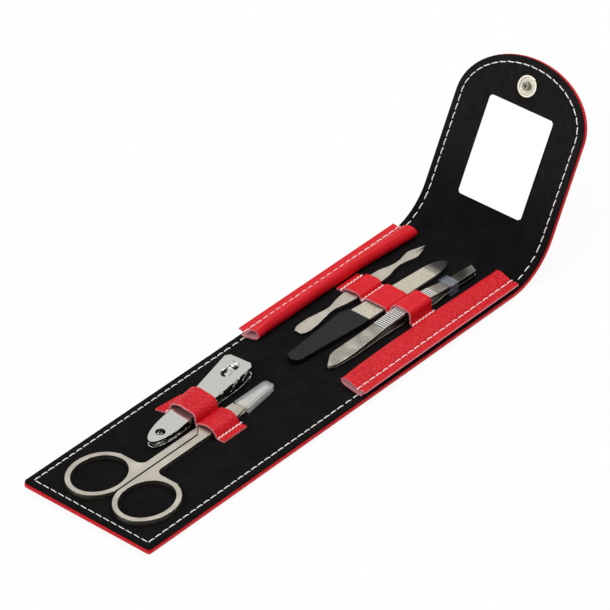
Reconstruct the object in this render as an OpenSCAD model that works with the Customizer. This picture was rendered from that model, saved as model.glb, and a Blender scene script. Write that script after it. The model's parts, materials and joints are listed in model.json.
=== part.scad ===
// Folding manicure set case, lying open: front panel, bottom spine, back panel, top spine and flap.
// X across the case, +Y from the front panel toward the flap, +Z up. Millimetres.
// Origin: centre of the back panel's underside.

/* [Case panels] */
// width of every panel
panel_w = 60; // [54:0.5:70]
// front panel, from its free edge to its fold
front_len = 99; // [96:0.5:104]
// back panel, between its two folds
back_len = 100; // [98:0.5:106]
// bottom spine, fold to fold: the depth inside the closed case
bottom_spine = 13; // [12:0.5:16]
// space between the closed flap and the front panel's outer face
flap_space = 1.4; // [1.3:0.1:2.5]
// flap, from its fold to its tip
flap_len = 59.3; // [56:0.5:66]
// height of the flap's rounded end
flap_arch = 22.5; // [18:0.5:28]
// half the gap between two panels at a fold
fold_gap = 0.3; // [0.2:0.05:0.5]
// outer leather
leather_t = 0.9; // [0.7:0.05:1.2]
// stiffening board
board_t = 1.1; // [0.8:0.05:1.6]
// suede lining
lining_t = 0.8; // [0.6:0.05:1.2]
// width of the leather turned up around a board
rim = 1.2; // [0.9:0.1:2]
// lining set back from the leather's edge
lining_inset = 0.2; // [0.1:0.05:0.6]
// radius of the front panel's corners
corner_r = 1.5; // [1:0.25:4]

/* [Rest pose] */
// top spine above level, as photographed
top_spine_deg = 51.5; // [40:0.5:60]
// flap beyond the top spine
flap_deg = 10.6; // [0:0.1:25]

/* [Gussets] */
// length of both gussets
gusset_len = 88.6; // [84:0.2:93]
// from the bottom fold to a gusset's near end
gusset_start = 3.4; // [3:0.2:6]
// stitched flange
flange_w = 3.2; // [2.6:0.1:4]
// height of the flange's top over the lining
flange_h = 3; // [2.4:0.1:3.6]
// width of the raised raw edge outside the stitch
lip_w = 1.2; // [0.8:0.1:1.6]
// height of the black gap under the raw edge
lip_gap = 1.4; // [1:0.1:1.8]
// rolled left tube, outer radius
left_tube_r = 2.9; // [2.5:0.1:3.3]
// flatter right fold, outer radius
right_tube_r = 2.2; // [1.9:0.1:2.6]
// full width of the flatter right gusset
right_gusset_w = 12.4; // [11:0.2:13.4]
// leather of the gussets
gusset_t = 0.9; // [0.7:0.05:1.1]

/* [Straps] */
// leather of the straps
strap_t = 0.9; // [0.7:0.05:1]
// width of the front strap
front_strap_w = 12.2; // [10:0.2:13]
// front strap's near edge, from the front panel's free edge
front_strap_y = 62.4; // [61.5:0.1:63.5]
// front strap's first seam, from the panel's left edge
front_seam = 12.5; // [11:0.1:14]
// height of the loop over the clipper
clipper_loop_h = 6.5; // [6.4:0.1:7]
// width of that loop between its seams
clipper_loop_w = 14.1; // [14:0.1:14.6]
// height of the loop over the scissors
scissors_loop_h = 4; // [3.9:0.1:4.4]
// width of that loop between its seams
scissors_loop_w = 10; // [9.9:0.1:10.4]
// loose end outside each end seam
strap_tab = 3; // [2:0.2:4]
// back strap between the left gusset and its first seam
back_strap_tab = 2.4; // [2:0.1:3.4]
// width of the back strap
back_strap_w = 12.1; // [9:0.1:13]
// back strap's near edge, from the bottom fold
back_strap_y = 48.3; // [47:0.1:49.5]
// height of the loop over the cuticle pusher
pusher_loop_h = 3.4; // [3.3:0.1:4]
// width of that loop
pusher_loop_w = 10.8; // [10.4:0.1:11.2]
// height of the loop over the nail file
file_loop_h = 3.4; // [3.3:0.1:3.8]
// width of that loop
file_loop_w = 11.5; // [11.4:0.1:11.8]
// height of the loop over the tweezers
tweezers_loop_h = 6.8; // [6.7:0.1:7.6]
// width of that loop
tweezers_loop_w = 12.2; // [11.6:0.1:12.6]

/* [Mirror and snap] */
// mirror width
mirror_w = 30; // [26:0.5:40]
// mirror height
mirror_h = 39.8; // [34:0.2:41.6]
// mirror glass
mirror_t = 1; // [0.8:0.05:1.1]
// radius of the mirror's corners
mirror_r = 1.6; // [0.8:0.1:3]
// mirror's lower edge from the flap's fold
mirror_y = 1; // [0.8:0.1:2.8]
// mirror's middle from the flap's middle
mirror_x = 1; // [-2:0.1:2]
// snap centre from the flap's fold
snap_y = 48.9; // [47:0.1:50]
// radius of the stud's flange
snap_flange_r = 4.2; // [3.6:0.1:5]
// radius of the stud's post
snap_post_r = 1.5; // [1.2:0.05:1.8]
// post above its flange
snap_post_h = 1.8; // [1.5:0.1:2]
// radial play of the post in the socket
snap_play = 0.35; // [0.3:0.05:0.6]
// radius of the cap on the flap's outside
snap_cap_r = 6.2; // [5:0.1:7]
// radius of the socket's ring
snap_socket_r = 4.6; // [4:0.1:5.5]

/* [Scissors] */
// overall length
scissors_len = 91.8; // [90:0.2:92.4]
// full thickness of rings and shanks
scissors_t = 2.1; // [1.9:0.1:2.2]
// outer width of a finger ring
ring_w = 22.4; // [20:0.2:22.6]
// outer height of a finger ring
ring_h = 26.8; // [24:0.2:27.6]
// width of the ring's wire
ring_wire = 1.9; // [1.6:0.1:2.4]
// width of one shank
shank_w = 3.15; // [2.8:0.05:3.3]
// distance between the closed shanks
shank_gap = 0.1; // [0.08:0.01:0.2]
// radius of the pivot screw
screw_r = 1.5; // [1.2:0.05:1.8]
// running clearance of the pivot
pivot_play = 0.05; // [0.02:0.01:0.1]
// clearance between the two blades
blade_play = 0.1; // [0.08:0.01:0.16]
// wall of the clear tip guard
guard_wall = 0.45; // [0.4:0.05:0.5]
// length of the tip guard
guard_len = 17; // [16.8:0.1:17.2]
// width of the tip guard at its open end
guard_w = 6.9; // [6.8:0.1:7]
// width of the tip guard near its closed end
guard_tip_w = 4.8; // [4.6:0.1:5]
// height of the tip guard
guard_h = 2.4; // [2.35:0.05:2.5]

/* [Nail clipper] */
// overall length
clipper_len = 54.6; // [53:0.2:55.2]
// width at the jaws
clipper_w = 12.2; // [11:0.1:12.6]
// width between the tail's curve and the flare toward the jaws
clipper_waist = 9.1; // [8.6:0.1:9.4]
// tail to the start of that flare
clipper_flare = 31; // [26:0.5:34]
// turn of the clipper on the panel, degrees
clipper_turn = 5; // [4.4:0.1:5.4]
// thickness of the lower and upper leaves
leaf_t = 1; // [0.8:0.05:1.1]
// thickness of the lever
lever_t = 0.8; // [0.7:0.05:0.9]
// top of the lever at its tail
lever_tail_h = 3.5; // [3.2:0.1:3.7]
// tail to the bend in the lever
lever_bend = 35; // [30:0.5:38]
// top of the lever at that bend
lever_bend_h = 4.9; // [4.7:0.1:5]
// top of the lever at the jaws
jaw_h = 7.2; // [7:0.1:7.4]
// height of the lower cutting edge
bite_h = 3.65; // [3.5:0.05:3.8]
// radius of the pin's head
pin_head_r = 1.9; // [1.8:0.1:2.4]
// pin's head above the lever
pin_proud = 1.2; // [0.7:0.1:1.4]
// radius of the tail rivet
rivet_r = 1.3; // [1.1:0.05:1.4]
// radius of the pin through the leaves
clip_pin_r = 1.3; // [1.1:0.05:1.5]
// play around the pin in the moving leaf and lever
clip_pin_play = 0.35; // [0.3:0.05:0.5]
// hole near the tail of the lever
tail_hole_r = 1.9; // [1.2:0.1:2.1]
// tail to the middle of that hole and of the rivet
rivet_y = 6.3; // [6:0.1:7]
// middle of the pin to the jaws
jaw_reach = 3.9; // [3.6:0.1:6]
// length of the curve round the tail
tail_curve = 16; // [14:0.5:18]
// sides turned down from the lever, back from the jaws
cheek_len = 20; // [16:0.5:22]
// depth of those sides under the lever's top
cheek_h = 3; // [2:0.1:3.4]
// oval dimple in the lever, before the pin
dimple_gap = 4.9; // [4.8:0.1:7]
// radius of that dimple across the lever
dimple_r = 1.7; // [1.2:0.1:2]

/* [Cuticle pusher] */
// overall length
pusher_len = 72.3; // [68:0.2:73]
// width of the middle grip and of the spade
pusher_w = 5.7; // [5:0.1:6]
// thickness
pusher_t = 1.5; // [1.2:0.1:1.7]

/* [Nail file] */
// overall length with the sleeve
file_len = 85.2; // [82:0.2:86]
// width of the steel at the sleeve
file_w = 9; // [8.2:0.1:9.2]
// thickness of the steel
file_t = 0.9; // [0.7:0.05:1]
// turn of the file on the panel, degrees
file_turn = -0.9; // [-1.4:0.1:-0.4]
// turn of the steel in its sleeve, degrees
file_cant = -1.9; // [-2.2:0.1:-1]
// length of the black sleeve
sleeve_len = 37.4; // [34:0.2:38]
// widest part of the sleeve
sleeve_w = 10.9; // [10.4:0.1:11.2]
// thickness of the sleeve
sleeve_t = 2.2; // [2:0.05:2.4]

/* [Tweezers] */
// overall length
tweezers_len = 81.6; // [79:0.2:82.4]
// width of the arms at the tail
tweezers_w = 6.5; // [6:0.1:6.8]
// turn of the tweezers on the panel, degrees
tweezers_turn = -2.4; // [-2.8:0.1:-1.6]
// thickness of one arm
arm_t = 1; // [0.8:0.05:1.1]
// top of the upper arm at its highest
arm_rise = 5.2; // [4.8:0.1:5.3]
// wall of the clear collar
collar_wall = 0.45; // [0.4:0.05:0.5]
// length of the clear collar
collar_len = 4.6; // [3:0.2:5]

/* [Clearances] */
// between a tool and the lining under it
tool_lift = 0.15; // [0.1:0.05:0.2]
// between the back strap's ends and the gussets
strap_gap = 0.1; // [0.05:0.05:0.3]

/* [Hidden] */

shell_t = leather_t + board_t;
zt = shell_t + lining_t;
top_spine = bottom_spine + zt + flap_space;
yb = -back_len / 2;
yc = back_len / 2;
ya = yb - bottom_spine;
yf = ya - front_len;
socket_y = ya - (back_len - snap_y);
RED = [0.80, 0.08, 0.11];
BLACK = [0.04, 0.04, 0.045];
STEEL = [0.72, 0.70, 0.66];
CHROME = [0.85, 0.85, 0.86];
e = 0.01;

// pieces on the front panel are placed from its free edge, those on the back panel from the bottom fold
module on_front(x, y, z = 0) translate([x, yf + y, zt + z]) children();
module on_back(x, y, z = 0) translate([x, yb + y, zt + z]) children();
module top_spine_frame() translate([0, yc, zt]) rotate([top_spine_deg, 0, 0]) children();
module flap_frame() top_spine_frame() translate([0, top_spine, 0]) rotate([flap_deg, 0, 0]) children();

// 2D outlines
module round_front(w, l, r) {
    translate([-w / 2, r]) square([w, l - r]);
    translate([-w / 2 + r, 0]) square([w - 2 * r, r + e]);
    for (s = [-1, 1]) translate([s * (w / 2 - r), r]) circle(r = r, $fn = 32);
}
module round_rect(w, h, r) {
    translate([-w / 2, r]) square([w, h - 2 * r]);
    translate([-w / 2 + r, 0]) square([w - 2 * r, h]);
    for (s = [-1, 1], y = [r, h - r]) translate([s * (w / 2 - r), y]) circle(r = r, $fn = 32);
}
// straight sides from y0, then half an ellipse of height a up to l
module arch_outline(w, y0, l, a) polygon(concat([[-w / 2, y0], [w / 2, y0]],
    [for (t = [0:4:180]) [w / 2 * cos(t), l - a + a * sin(t)]]));
module plate(w, y0, y1, z0, z1) translate([-w / 2, y0, z0]) cube([w, y1 - y0, z1 - z0]);
// profile in (x, z) swept along +Y from y0 to y1
module sweep_y(y0, y1) translate([0, y1, 0]) rotate([90, 0, 0]) linear_extrude(y1 - y0) children();
// profile in (y, z) swept across X, width w about the middle
module sweep_x(w) translate([-w / 2, 0, 0]) rotate([90, 0, 90]) linear_extrude(w) children();

// smooth strip of leather, from control points on its middle line
function spline(a, b, c, d, t) =
    0.5 * (2 * b + (c - a) * t + (2 * a - 5 * b + 4 * c - d) * t * t + (3 * b - a - 3 * c + d) * t * t * t);
function smooth(P, n) = [for (i = [0:len(P) - 2], k = [0:n - 1])
    spline(P[max(i - 1, 0)], P[i], P[i + 1], P[min(i + 2, len(P) - 1)], k / n), P[len(P) - 1]];
function side(P, i) = let(d = P[min(i + 1, len(P) - 1)] - P[max(i - 1, 0)]) [-d[1], d[0]] / norm(d);
function face(P, s) = [for (i = [0:len(P) - 1]) P[i] + s * side(P, i) * strap_t / 2];
// loop between two seams: left foot x0, right foot x1, outside height h, shoulders a and b wide
function loop_line(x0, x1, h, a, b) = let(t = strap_t) smooth([
    [x0, t / 2], [x0 + a * 0.35, (h - t) * 0.5], [x0 + a, (h - t) * 0.96 + 0.02],
    [(x0 + a + x1 - b) / 2, h - t / 2], [x1 - b, (h - t) * 0.96 + 0.02], [x1 - b * 0.35, (h - t) * 0.5],
    [x1, t / 2]], 5);
// strap in (x, z) from end x0 to end x1, its loops given as middle lines, with a seam between neighbours
module strap_profile(x0, x1, loops, seams) {
    n = len(loops) - 1;
    top = [for (k = [0:n], p = face(loops[k], 1))
        if (p[1] > strap_t && (k == 0 || p[0] > seams[k - 1]) && (k == n || p[0] < seams[k])) p];
    under = [for (k = [n:-1:0]) let(F = face(loops[k], -1), m = len(F) - 1)
        each concat([[F[m][0], 0]], [for (i = [m:-1:0]) F[i]], [[F[0][0], 0]])];
    polygon(concat([[x0, 0], [x0, strap_t]], top, [[x1, strap_t], [x1, 0]], under));
}

// leather tray around a board
module tray(w, y0, y1) difference() {
    plate(w, y0, y1, 0, shell_t);
    plate(w - 2 * rim, y0 + rim, y1 - rim, leather_t, shell_t + 1);
}

// front panel
module front_leather() {
    color(RED) difference() {
        translate([0, yf, 0]) linear_extrude(shell_t) round_front(panel_w, front_len - fold_gap, corner_r);
        plate(panel_w - 2 * rim, yf + rim, ya - fold_gap - rim, leather_t, shell_t + 1);
        translate([0, socket_y, -1]) cylinder(r = snap_socket_r + 0.05, h = leather_t + 2, $fn = 64);
    }
}
module front_board() {
    color([0.55, 0.5, 0.42]) difference() {
        plate(panel_w - 2 * rim, yf + rim, ya - fold_gap - rim, leather_t, shell_t);
        translate([0, socket_y, 0]) cylinder(r = snap_post_r + 1.25, h = zt, $fn = 48);
    }
}
module front_lining() {
    color(BLACK) translate([0, yf + lining_inset, shell_t]) linear_extrude(lining_t)
        round_front(panel_w - 2 * lining_inset, front_len - fold_gap - lining_inset, corner_r);
}
// seams of the front strap: before the clipper, between it and the scissors, after the scissors
clipper_seam = -panel_w / 2 + front_seam;
scissors_seam = clipper_seam + clipper_loop_w;
last_front_seam = scissors_seam + scissors_loop_w;
module front_strap() {
    color(RED) on_front(0, front_strap_y) sweep_y(0, front_strap_w)
        strap_profile(clipper_seam - strap_tab - 1, last_front_seam + strap_tab,
            [loop_line(clipper_seam, scissors_seam, clipper_loop_h, 1.3, 1.3),
            loop_line(scissors_seam, last_front_seam, scissors_loop_h, 0.9, 1)], [scissors_seam]);
}
module snap_socket() {
    color(STEEL) translate([0, socket_y, 0]) difference() {
        cylinder(r = snap_socket_r, h = leather_t, $fn = 64);
        translate([0, 0, -1]) cylinder(r = snap_post_r + snap_play, h = leather_t + 2, $fn = 48);
        translate([0, 0, -1]) cylinder(r = snap_post_r + snap_play + 1, h = 1.25, $fn = 48);
    }
}
module snap_socket_post() {
    color(STEEL) translate([0, socket_y, 0]) difference() {
        translate([0, 0, leather_t]) cylinder(r = snap_post_r + 1.2, h = board_t - 0.1, $fn = 48);
        translate([0, 0, leather_t - 1]) cylinder(r = snap_post_r + snap_play, h = board_t + 0.5, $fn = 48);
    }
}

// bottom spine
module bottom_spine_leather() color(RED) plate(panel_w, ya + fold_gap, yb - fold_gap, 0, shell_t);
module bottom_spine_lining()
    color(BLACK) plate(panel_w - 2 * lining_inset, ya + fold_gap, yb - fold_gap, shell_t, zt);

// back panel
module back_leather() color(RED) tray(panel_w, yb + fold_gap, yc - fold_gap);
module back_board() {
    color([0.55, 0.5, 0.42])
        plate(panel_w - 2 * rim, yb + fold_gap + rim, yc - fold_gap - rim, leather_t, shell_t);
}
module back_lining() color(BLACK) plate(panel_w - 2 * lining_inset, yb + fold_gap, yc - fold_gap, shell_t, zt);

// gusset profile from its outer edge inward: raised raw edge, stitched flange, folded tube
module gusset_profile(r, w, hollow_x) difference() {
    union() {
        hull() {
            translate([lip_w, 0]) square([flange_w - lip_w, flange_h]);
            translate([w - r, r]) circle(r = r, $fn = 40);
        }
        translate([0.1, lip_gap]) square([lip_w, flange_h - lip_gap]);
    }
    hull() {
        translate([w - r, r]) circle(r = r - gusset_t, $fn = 32);
        translate([hollow_x, r]) circle(r = 0.35, $fn = 16);
    }
}
left_gusset_w = flange_w + 2 * left_tube_r - 0.3;
// seams of the back strap: before the pusher, the file and the tweezers, and after the tweezers
pusher_seam = -panel_w / 2 + left_gusset_w + back_strap_tab;
file_seam = pusher_seam + pusher_loop_w;
tweezers_seam = file_seam + file_loop_w;
last_back_seam = tweezers_seam + tweezers_loop_w;
// the right gusset gives way to the strap's last seam where the case is narrow
right_fold_w = min(right_gusset_w, panel_w / 2 - last_back_seam - strap_t - strap_gap);
module left_gusset() {
    color(RED) on_back(-panel_w / 2, gusset_start) sweep_y(0, gusset_len)
        gusset_profile(left_tube_r, left_gusset_w, flange_w + 0.5);
}
module right_gusset() {
    color(RED) on_back(panel_w / 2, gusset_start) mirror([1, 0, 0]) sweep_y(0, gusset_len)
        gusset_profile(right_tube_r, right_fold_w, flange_w + 1.2);
}
module back_strap() {
    color(RED) on_back(0, back_strap_y) sweep_y(0, back_strap_w)
        strap_profile(-panel_w / 2 + left_gusset_w + strap_gap, panel_w / 2 - right_fold_w - strap_gap,
            [loop_line(pusher_seam, file_seam, pusher_loop_h, 1.5, 1.8),
            loop_line(file_seam, tweezers_seam, file_loop_h, 1.2, 1.2),
            loop_line(tweezers_seam, last_back_seam, tweezers_loop_h, 3, 0.9)], [file_seam, tweezers_seam]);
}

// top spine and flap
module top_spine_leather()
    color(RED) top_spine_frame() plate(panel_w, fold_gap, top_spine - fold_gap, -zt, -lining_t);
module top_spine_lining() {
    color(BLACK) top_spine_frame()
        plate(panel_w - 2 * lining_inset, fold_gap, top_spine - fold_gap, -lining_t, 0);
}
module flap_leather() {
    color(RED) flap_frame() difference() {
        translate([0, 0, -zt]) linear_extrude(shell_t) arch_outline(panel_w, fold_gap, flap_len, flap_arch);
        translate([0, 0, -zt + leather_t]) linear_extrude(zt)
            arch_outline(panel_w - 2 * rim, fold_gap + rim, flap_len - rim, flap_arch - rim);
        translate([0, snap_y, -zt - 1]) cylinder(r = snap_post_r, h = zt + 1, $fn = 48);
    }
}
module flap_board() {
    color([0.55, 0.5, 0.42]) flap_frame() difference() {
        translate([0, 0, -zt + leather_t]) linear_extrude(board_t)
            arch_outline(panel_w - 2 * rim, fold_gap + rim, flap_len - rim, flap_arch - rim);
        translate([0, snap_y, -zt]) cylinder(r = snap_post_r, h = zt, $fn = 48);
    }
}
module flap_lining() {
    color(BLACK) flap_frame() difference() {
        translate([0, 0, -lining_t]) linear_extrude(lining_t)
            arch_outline(panel_w - 2 * lining_inset, fold_gap, flap_len - lining_inset, flap_arch - lining_inset);
        translate([0, snap_y, -zt]) cylinder(r = snap_post_r, h = zt + 1, $fn = 48);
    }
}
module mirror_glass() linear_extrude(mirror_t) round_rect(mirror_w, mirror_h, mirror_r);
module mirror_plate() color(CHROME) flap_frame() translate([mirror_x, mirror_y, 0]) mirror_glass();
module snap_stud() {
    color(CHROME) flap_frame() translate([0, snap_y, 0]) {
        difference() {
            cylinder(r = snap_flange_r, h = 0.9, $fn = 64);
            translate([0, 0, 0.35]) cylinder(r = snap_flange_r - 0.9, h = 1, $fn = 64);
        }
        difference() {
            cylinder(r = snap_post_r, h = 0.35 + snap_post_h, $fn = 48);
            translate([0, 0, 0.9]) cylinder(r = 0.5, h = 3, $fn = 24);
        }
        difference() {
            cylinder(r = snap_flange_r - 1.5, h = 0.6, $fn = 48);
            translate([0, 0, 0.35]) cylinder(r = snap_post_r + 0.4, h = 1, $fn = 48);
        }
    }
}
module snap_cap() {
    color(STEEL) flap_frame() translate([0, snap_y, -zt]) {
        rotate_extrude($fn = 72) polygon([[0, -1.3], [snap_cap_r * 0.45, -1.2], [snap_cap_r * 0.75, -0.85],
            [snap_cap_r * 0.93, -0.4], [snap_cap_r, 0], [0, 0]]);
        cylinder(r = snap_post_r - 0.05, h = zt, $fn = 48);
    }
}

// scissors, closed: split line at x = 0, y from the rings' near end
scissors_in = 4.3;
scissors_y = 5.3;
pivot_y = 64;
shoulder_y = 52.4;
blade_y = 75;
half_t = (scissors_t - blade_play) / 2;
module scissors_place() on_front(scissors_seam + scissors_in, scissors_y, tool_lift) children();
module ring_2d() {
    g = shank_gap / 2;
    difference() {
        union() {
            translate([-ring_w / 2 - g, ring_h / 2]) scale([ring_w / ring_h, 1]) circle(d = ring_h, $fn = 72);
            polygon([[-g, ring_h * 0.38], [-g, ring_h + 4], [-g - shank_w, ring_h + 4],
                [-g - shank_w, ring_h], [-ring_w * 0.62, ring_h], [-ring_w * 0.3, ring_h * 0.7]]);
            translate([-g - shank_w - 3, ring_h]) difference() {
                translate([0, -1]) square([3 + e, 4]);
                translate([0, 3]) circle(r = 3, $fn = 48);
            }
        }
        translate([-ring_w / 2 - g, ring_h / 2])
            scale([(ring_w - 2 * ring_wire) / (ring_h - 2 * ring_wire), 1])
                circle(d = ring_h - 2 * ring_wire, $fn = 72);
    }
}
// one half in its own thickness, joint plate low; the other half is this one turned over
module scissors_half(dx) difference() {
    g = shank_gap / 2;
    union() {
        linear_extrude(scissors_t) ring_2d();
        linear_extrude(scissors_t) polygon([[-g, ring_h + 3], [-g, shoulder_y], [-g - shank_w, shoulder_y + 4],
            [-g - shank_w, ring_h + 3]]);
        linear_extrude(half_t) polygon([[-g, shoulder_y - 2], [-g, shoulder_y + 0.3], [shank_w, shoulder_y + 4.4],
            [shank_w, blade_y - 5], [shank_w - 0.1, blade_y], [-shank_w + 0.9, blade_y],
            [-g - shank_w, blade_y - 4], [-g - shank_w, shoulder_y - 2]]);
        translate([0, 0, half_t - 0.45]) linear_extrude(0.45) polygon([[-shank_w + 0.9, blade_y - 2],
            [shank_w - 0.45, blade_y - 2], [2.2, blade_y + 3], [dx + 0.9, scissors_len - 0.6],
            [dx + 0.2, scissors_len], [dx - 0.5, scissors_len - 0.6], [-1.6, blade_y + 3]]);
    }
    translate([0, pivot_y, -1]) cylinder(r = screw_r + pivot_play, h = 5, $fn = 48);
}
module scissors_half_a() color(STEEL) scissors_place() scissors_half(-0.6);
module scissors_half_b() {
    color(STEEL) scissors_place() translate([0, 0, scissors_t]) rotate([0, 180, 0]) scissors_half(0.7);
}
module scissors_screw() {
    color(CHROME) scissors_place() translate([0, pivot_y, 0]) difference() {
        union() {
            cylinder(r = screw_r, h = scissors_t, $fn = 48);
            translate([0, 0, scissors_t + 0.03]) cylinder(r = screw_r + 0.6, h = 0.32, $fn = 48);
            cylinder(r = screw_r, h = scissors_t + 0.2, $fn = 48);
        }
        translate([-3, -0.25, scissors_t + 0.2]) cube([6, 0.5, 1]);
    }
}
guard_turn = 3.8;
module scissors_tip_guard() {
    o = guard_len;
    w = guard_wall;
    g0 = guard_w / 2;
    g1 = guard_tip_w / 2;
    color([0.85, 0.87, 0.9, 0.35]) scissors_place() translate([0.35, blade_y + 1, -tool_lift + 0.02])
        rotate([0, 0, guard_turn]) difference() {
            linear_extrude(guard_h) polygon([[-g0, 0], [g0, 0], [g1, o - 1], [g1 - 0.8, o], [-g1 + 0.8, o],
                [-g1, o - 1]]);
            translate([0, 0, w]) linear_extrude(guard_h - 2 * w)
                polygon([[-g0 + w, -1], [g0 - w, -1], [g1 - w, o - w - 0.3], [-g1 + w, o - w - 0.3]]);
        }
}

// nail clipper: own frame, y from the tail to the jaws, profiles in (y, z); it turns in the middle of its loop
clipper_held = 25.9;
module clipper_place()
    on_front((clipper_seam + scissors_seam) / 2, front_strap_y + front_strap_w / 2, tool_lift)
        rotate([0, 0, clipper_turn]) translate([0, -clipper_held, 0]) children();
pin_y = clipper_len - jaw_reach;
function clip_half(s, w) = (w - (clipper_w - clipper_waist)
    * (1 - max(0, s - clipper_flare) / (clipper_len - clipper_flare))) / 2
    * sqrt(max(0.01, 1 - pow(1 - min(s, tail_curve) / tail_curve, 2.4)));
function clip_edge(w, s0, s1) = [for (k = [0:14]) let(s = s0 + (s1 - s0) * pow(k / 14, 1.6)) [clip_half(s, w), s]];
module clip_outline(w, s0, s1, bevel) {
    P = clip_edge(w, s0, s1 - bevel);
    Q = [for (i = [len(P) - 1:-1:0]) [-P[i][0], P[i][1]]];
    hw = clip_half(s1, w);
    polygon(concat(P, [[hw - bevel, s1], [-hw + bevel, s1]], Q));
}
clip_wide = 2 * clipper_w;
clip_high = 2 * jaw_h;
function lever_top(s) = s < lever_bend ? lever_tail_h + (lever_bend_h - lever_tail_h) * s / lever_bend
    : lever_bend_h + (jaw_h - lever_bend_h) * (s - lever_bend) / (clipper_len - lever_bend);
// slab that follows the lever's top, from its tail to its jaws, between two depths under the top
module lever_slab(d0, d1) sweep_x(clip_wide) polygon(concat(
    [for (s = [0, lever_bend, clipper_len + 1]) [s, lever_top(s) - d1]],
    [for (s = [clipper_len + 1, lever_bend, 0]) [s, lever_top(s) - d0]]));
module pin_hole(play) translate([0, pin_y, -1]) cylinder(r = clip_pin_r + play, h = clip_high, $fn = 40);
module clipper_lower_leaf() {
    L = clipper_len;
    t = leaf_t;
    color(CHROME) clipper_place() difference() {
        intersection() {
            linear_extrude(clip_high) clip_outline(clipper_w - 0.4, 0.4, L - 0.2, 1);
            sweep_x(clip_wide) polygon([[0, 0], [L - 10, 0], [L - 6, 0.25], [L - 3, 1.1], [L - 1, 2.3],
                [L - 0.25, bite_h - 0.2], [L - 0.5, bite_h], [L - 2.2, bite_h - 0.65], [L - 5, t + 0.75],
                [L - 8, t + 0.15], [L - 11, t], [0, t]]);
        }
        pin_hole(0.03);
        translate([0, rivet_y, -1]) cylinder(r = rivet_r + 0.03, h = clip_high, $fn = 40);
    }
}
module clipper_pin() {
    under = lever_top(pin_y) + 0.35;
    color(CHROME) clipper_place() translate([0, pin_y, 0]) difference() {
        union() {
            cylinder(r = clip_pin_r, h = under + 0.05, $fn = 40);
            translate([0, 0, under]) rotate_extrude($fn = 48) polygon([[0, 0], [pin_head_r, 0],
                [pin_head_r, pin_proud * 0.4], [pin_head_r * 0.8, pin_proud * 0.75],
                [pin_head_r * 0.45, pin_proud * 0.96], [0, pin_proud]]);
        }
        translate([-clipper_w, -0.3, under + pin_proud - 0.35]) cube([2 * clipper_w, 0.6, 1]);
    }
}
module clipper_rivet() {
    color(STEEL) clipper_place() translate([0, rivet_y, 0]) {
        cylinder(r = rivet_r, h = leaf_t + 0.2, $fn = 40);
        cylinder(r = rivet_r - 0.4, h = 2 * leaf_t + 0.45, $fn = 32);
    }
}
module clipper_upper_leaf() {
    L = clipper_len;
    t = leaf_t - 0.1;
    z0 = leaf_t + 0.2;
    // underside: flat on the rivet, then rising to the jaws
    U = [[0, z0], [4, z0], [L * 0.37, z0 + 0.9], [L * 0.64, z0 + 1.8], [L - 9, z0 + 2.7], [L - 5, z0 + 3.05]];
    color(CHROME) clipper_place() difference() {
        intersection() {
            linear_extrude(clip_high) clip_outline(clipper_w - 3.2, 0.6, L - 0.2, 0.6);
            sweep_x(clip_wide) polygon(concat(U, [[L - 1.6, bite_h + 0.85], [L - 0.25, bite_h + 1],
                [L - 0.5, bite_h + 1.35], [L - 1.8, bite_h + 1.7]],
                [for (i = [len(U) - 1:-1:0]) U[i] + [0, t]]));
        }
        pin_hole(clip_pin_play);
        translate([0, rivet_y, -1]) cylinder(r = rivet_r - 0.05, h = clip_high, $fn = 40);
    }
}
module clipper_lever() {
    L = clipper_len;
    dimple_y = pin_y - dimple_gap;
    cheek_y = L - cheek_len;
    cheek_run = 4;
    cheek_stop = 3;
    color(CHROME) clipper_place() difference() {
        union() {
            intersection() {
                linear_extrude(clip_high) clip_outline(clipper_w, 0, L, 1.6);
                lever_slab(0, lever_t);
            }
            // sides turned down beside the pin
            intersection() {
                linear_extrude(clip_high) difference() {
                    clip_outline(clipper_w, 0, L, 1.6);
                    clip_outline(clipper_w - 2 * lever_t, -1, L + 1, 0.1);
                }
                lever_slab(0, cheek_h);
                sweep_x(clip_wide) polygon([[cheek_y - cheek_run, lever_top(cheek_y - cheek_run)],
                    [cheek_y, lever_top(cheek_y) - cheek_h - 0.4], [cheek_y, 0], [L - cheek_stop, 0],
                    [L - cheek_stop, clip_high], [cheek_y - cheek_run, clip_high]]);
            }
        }
        pin_hole(clip_pin_play);
        translate([0, rivet_y, -1]) cylinder(r = tail_hole_r, h = clip_high, $fn = 40);
        translate([0, dimple_y, lever_top(dimple_y) - 0.25]) scale([1, 1.5, 1])
            cylinder(r = dimple_r, h = clip_high, $fn = 40);
    }
}

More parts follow.
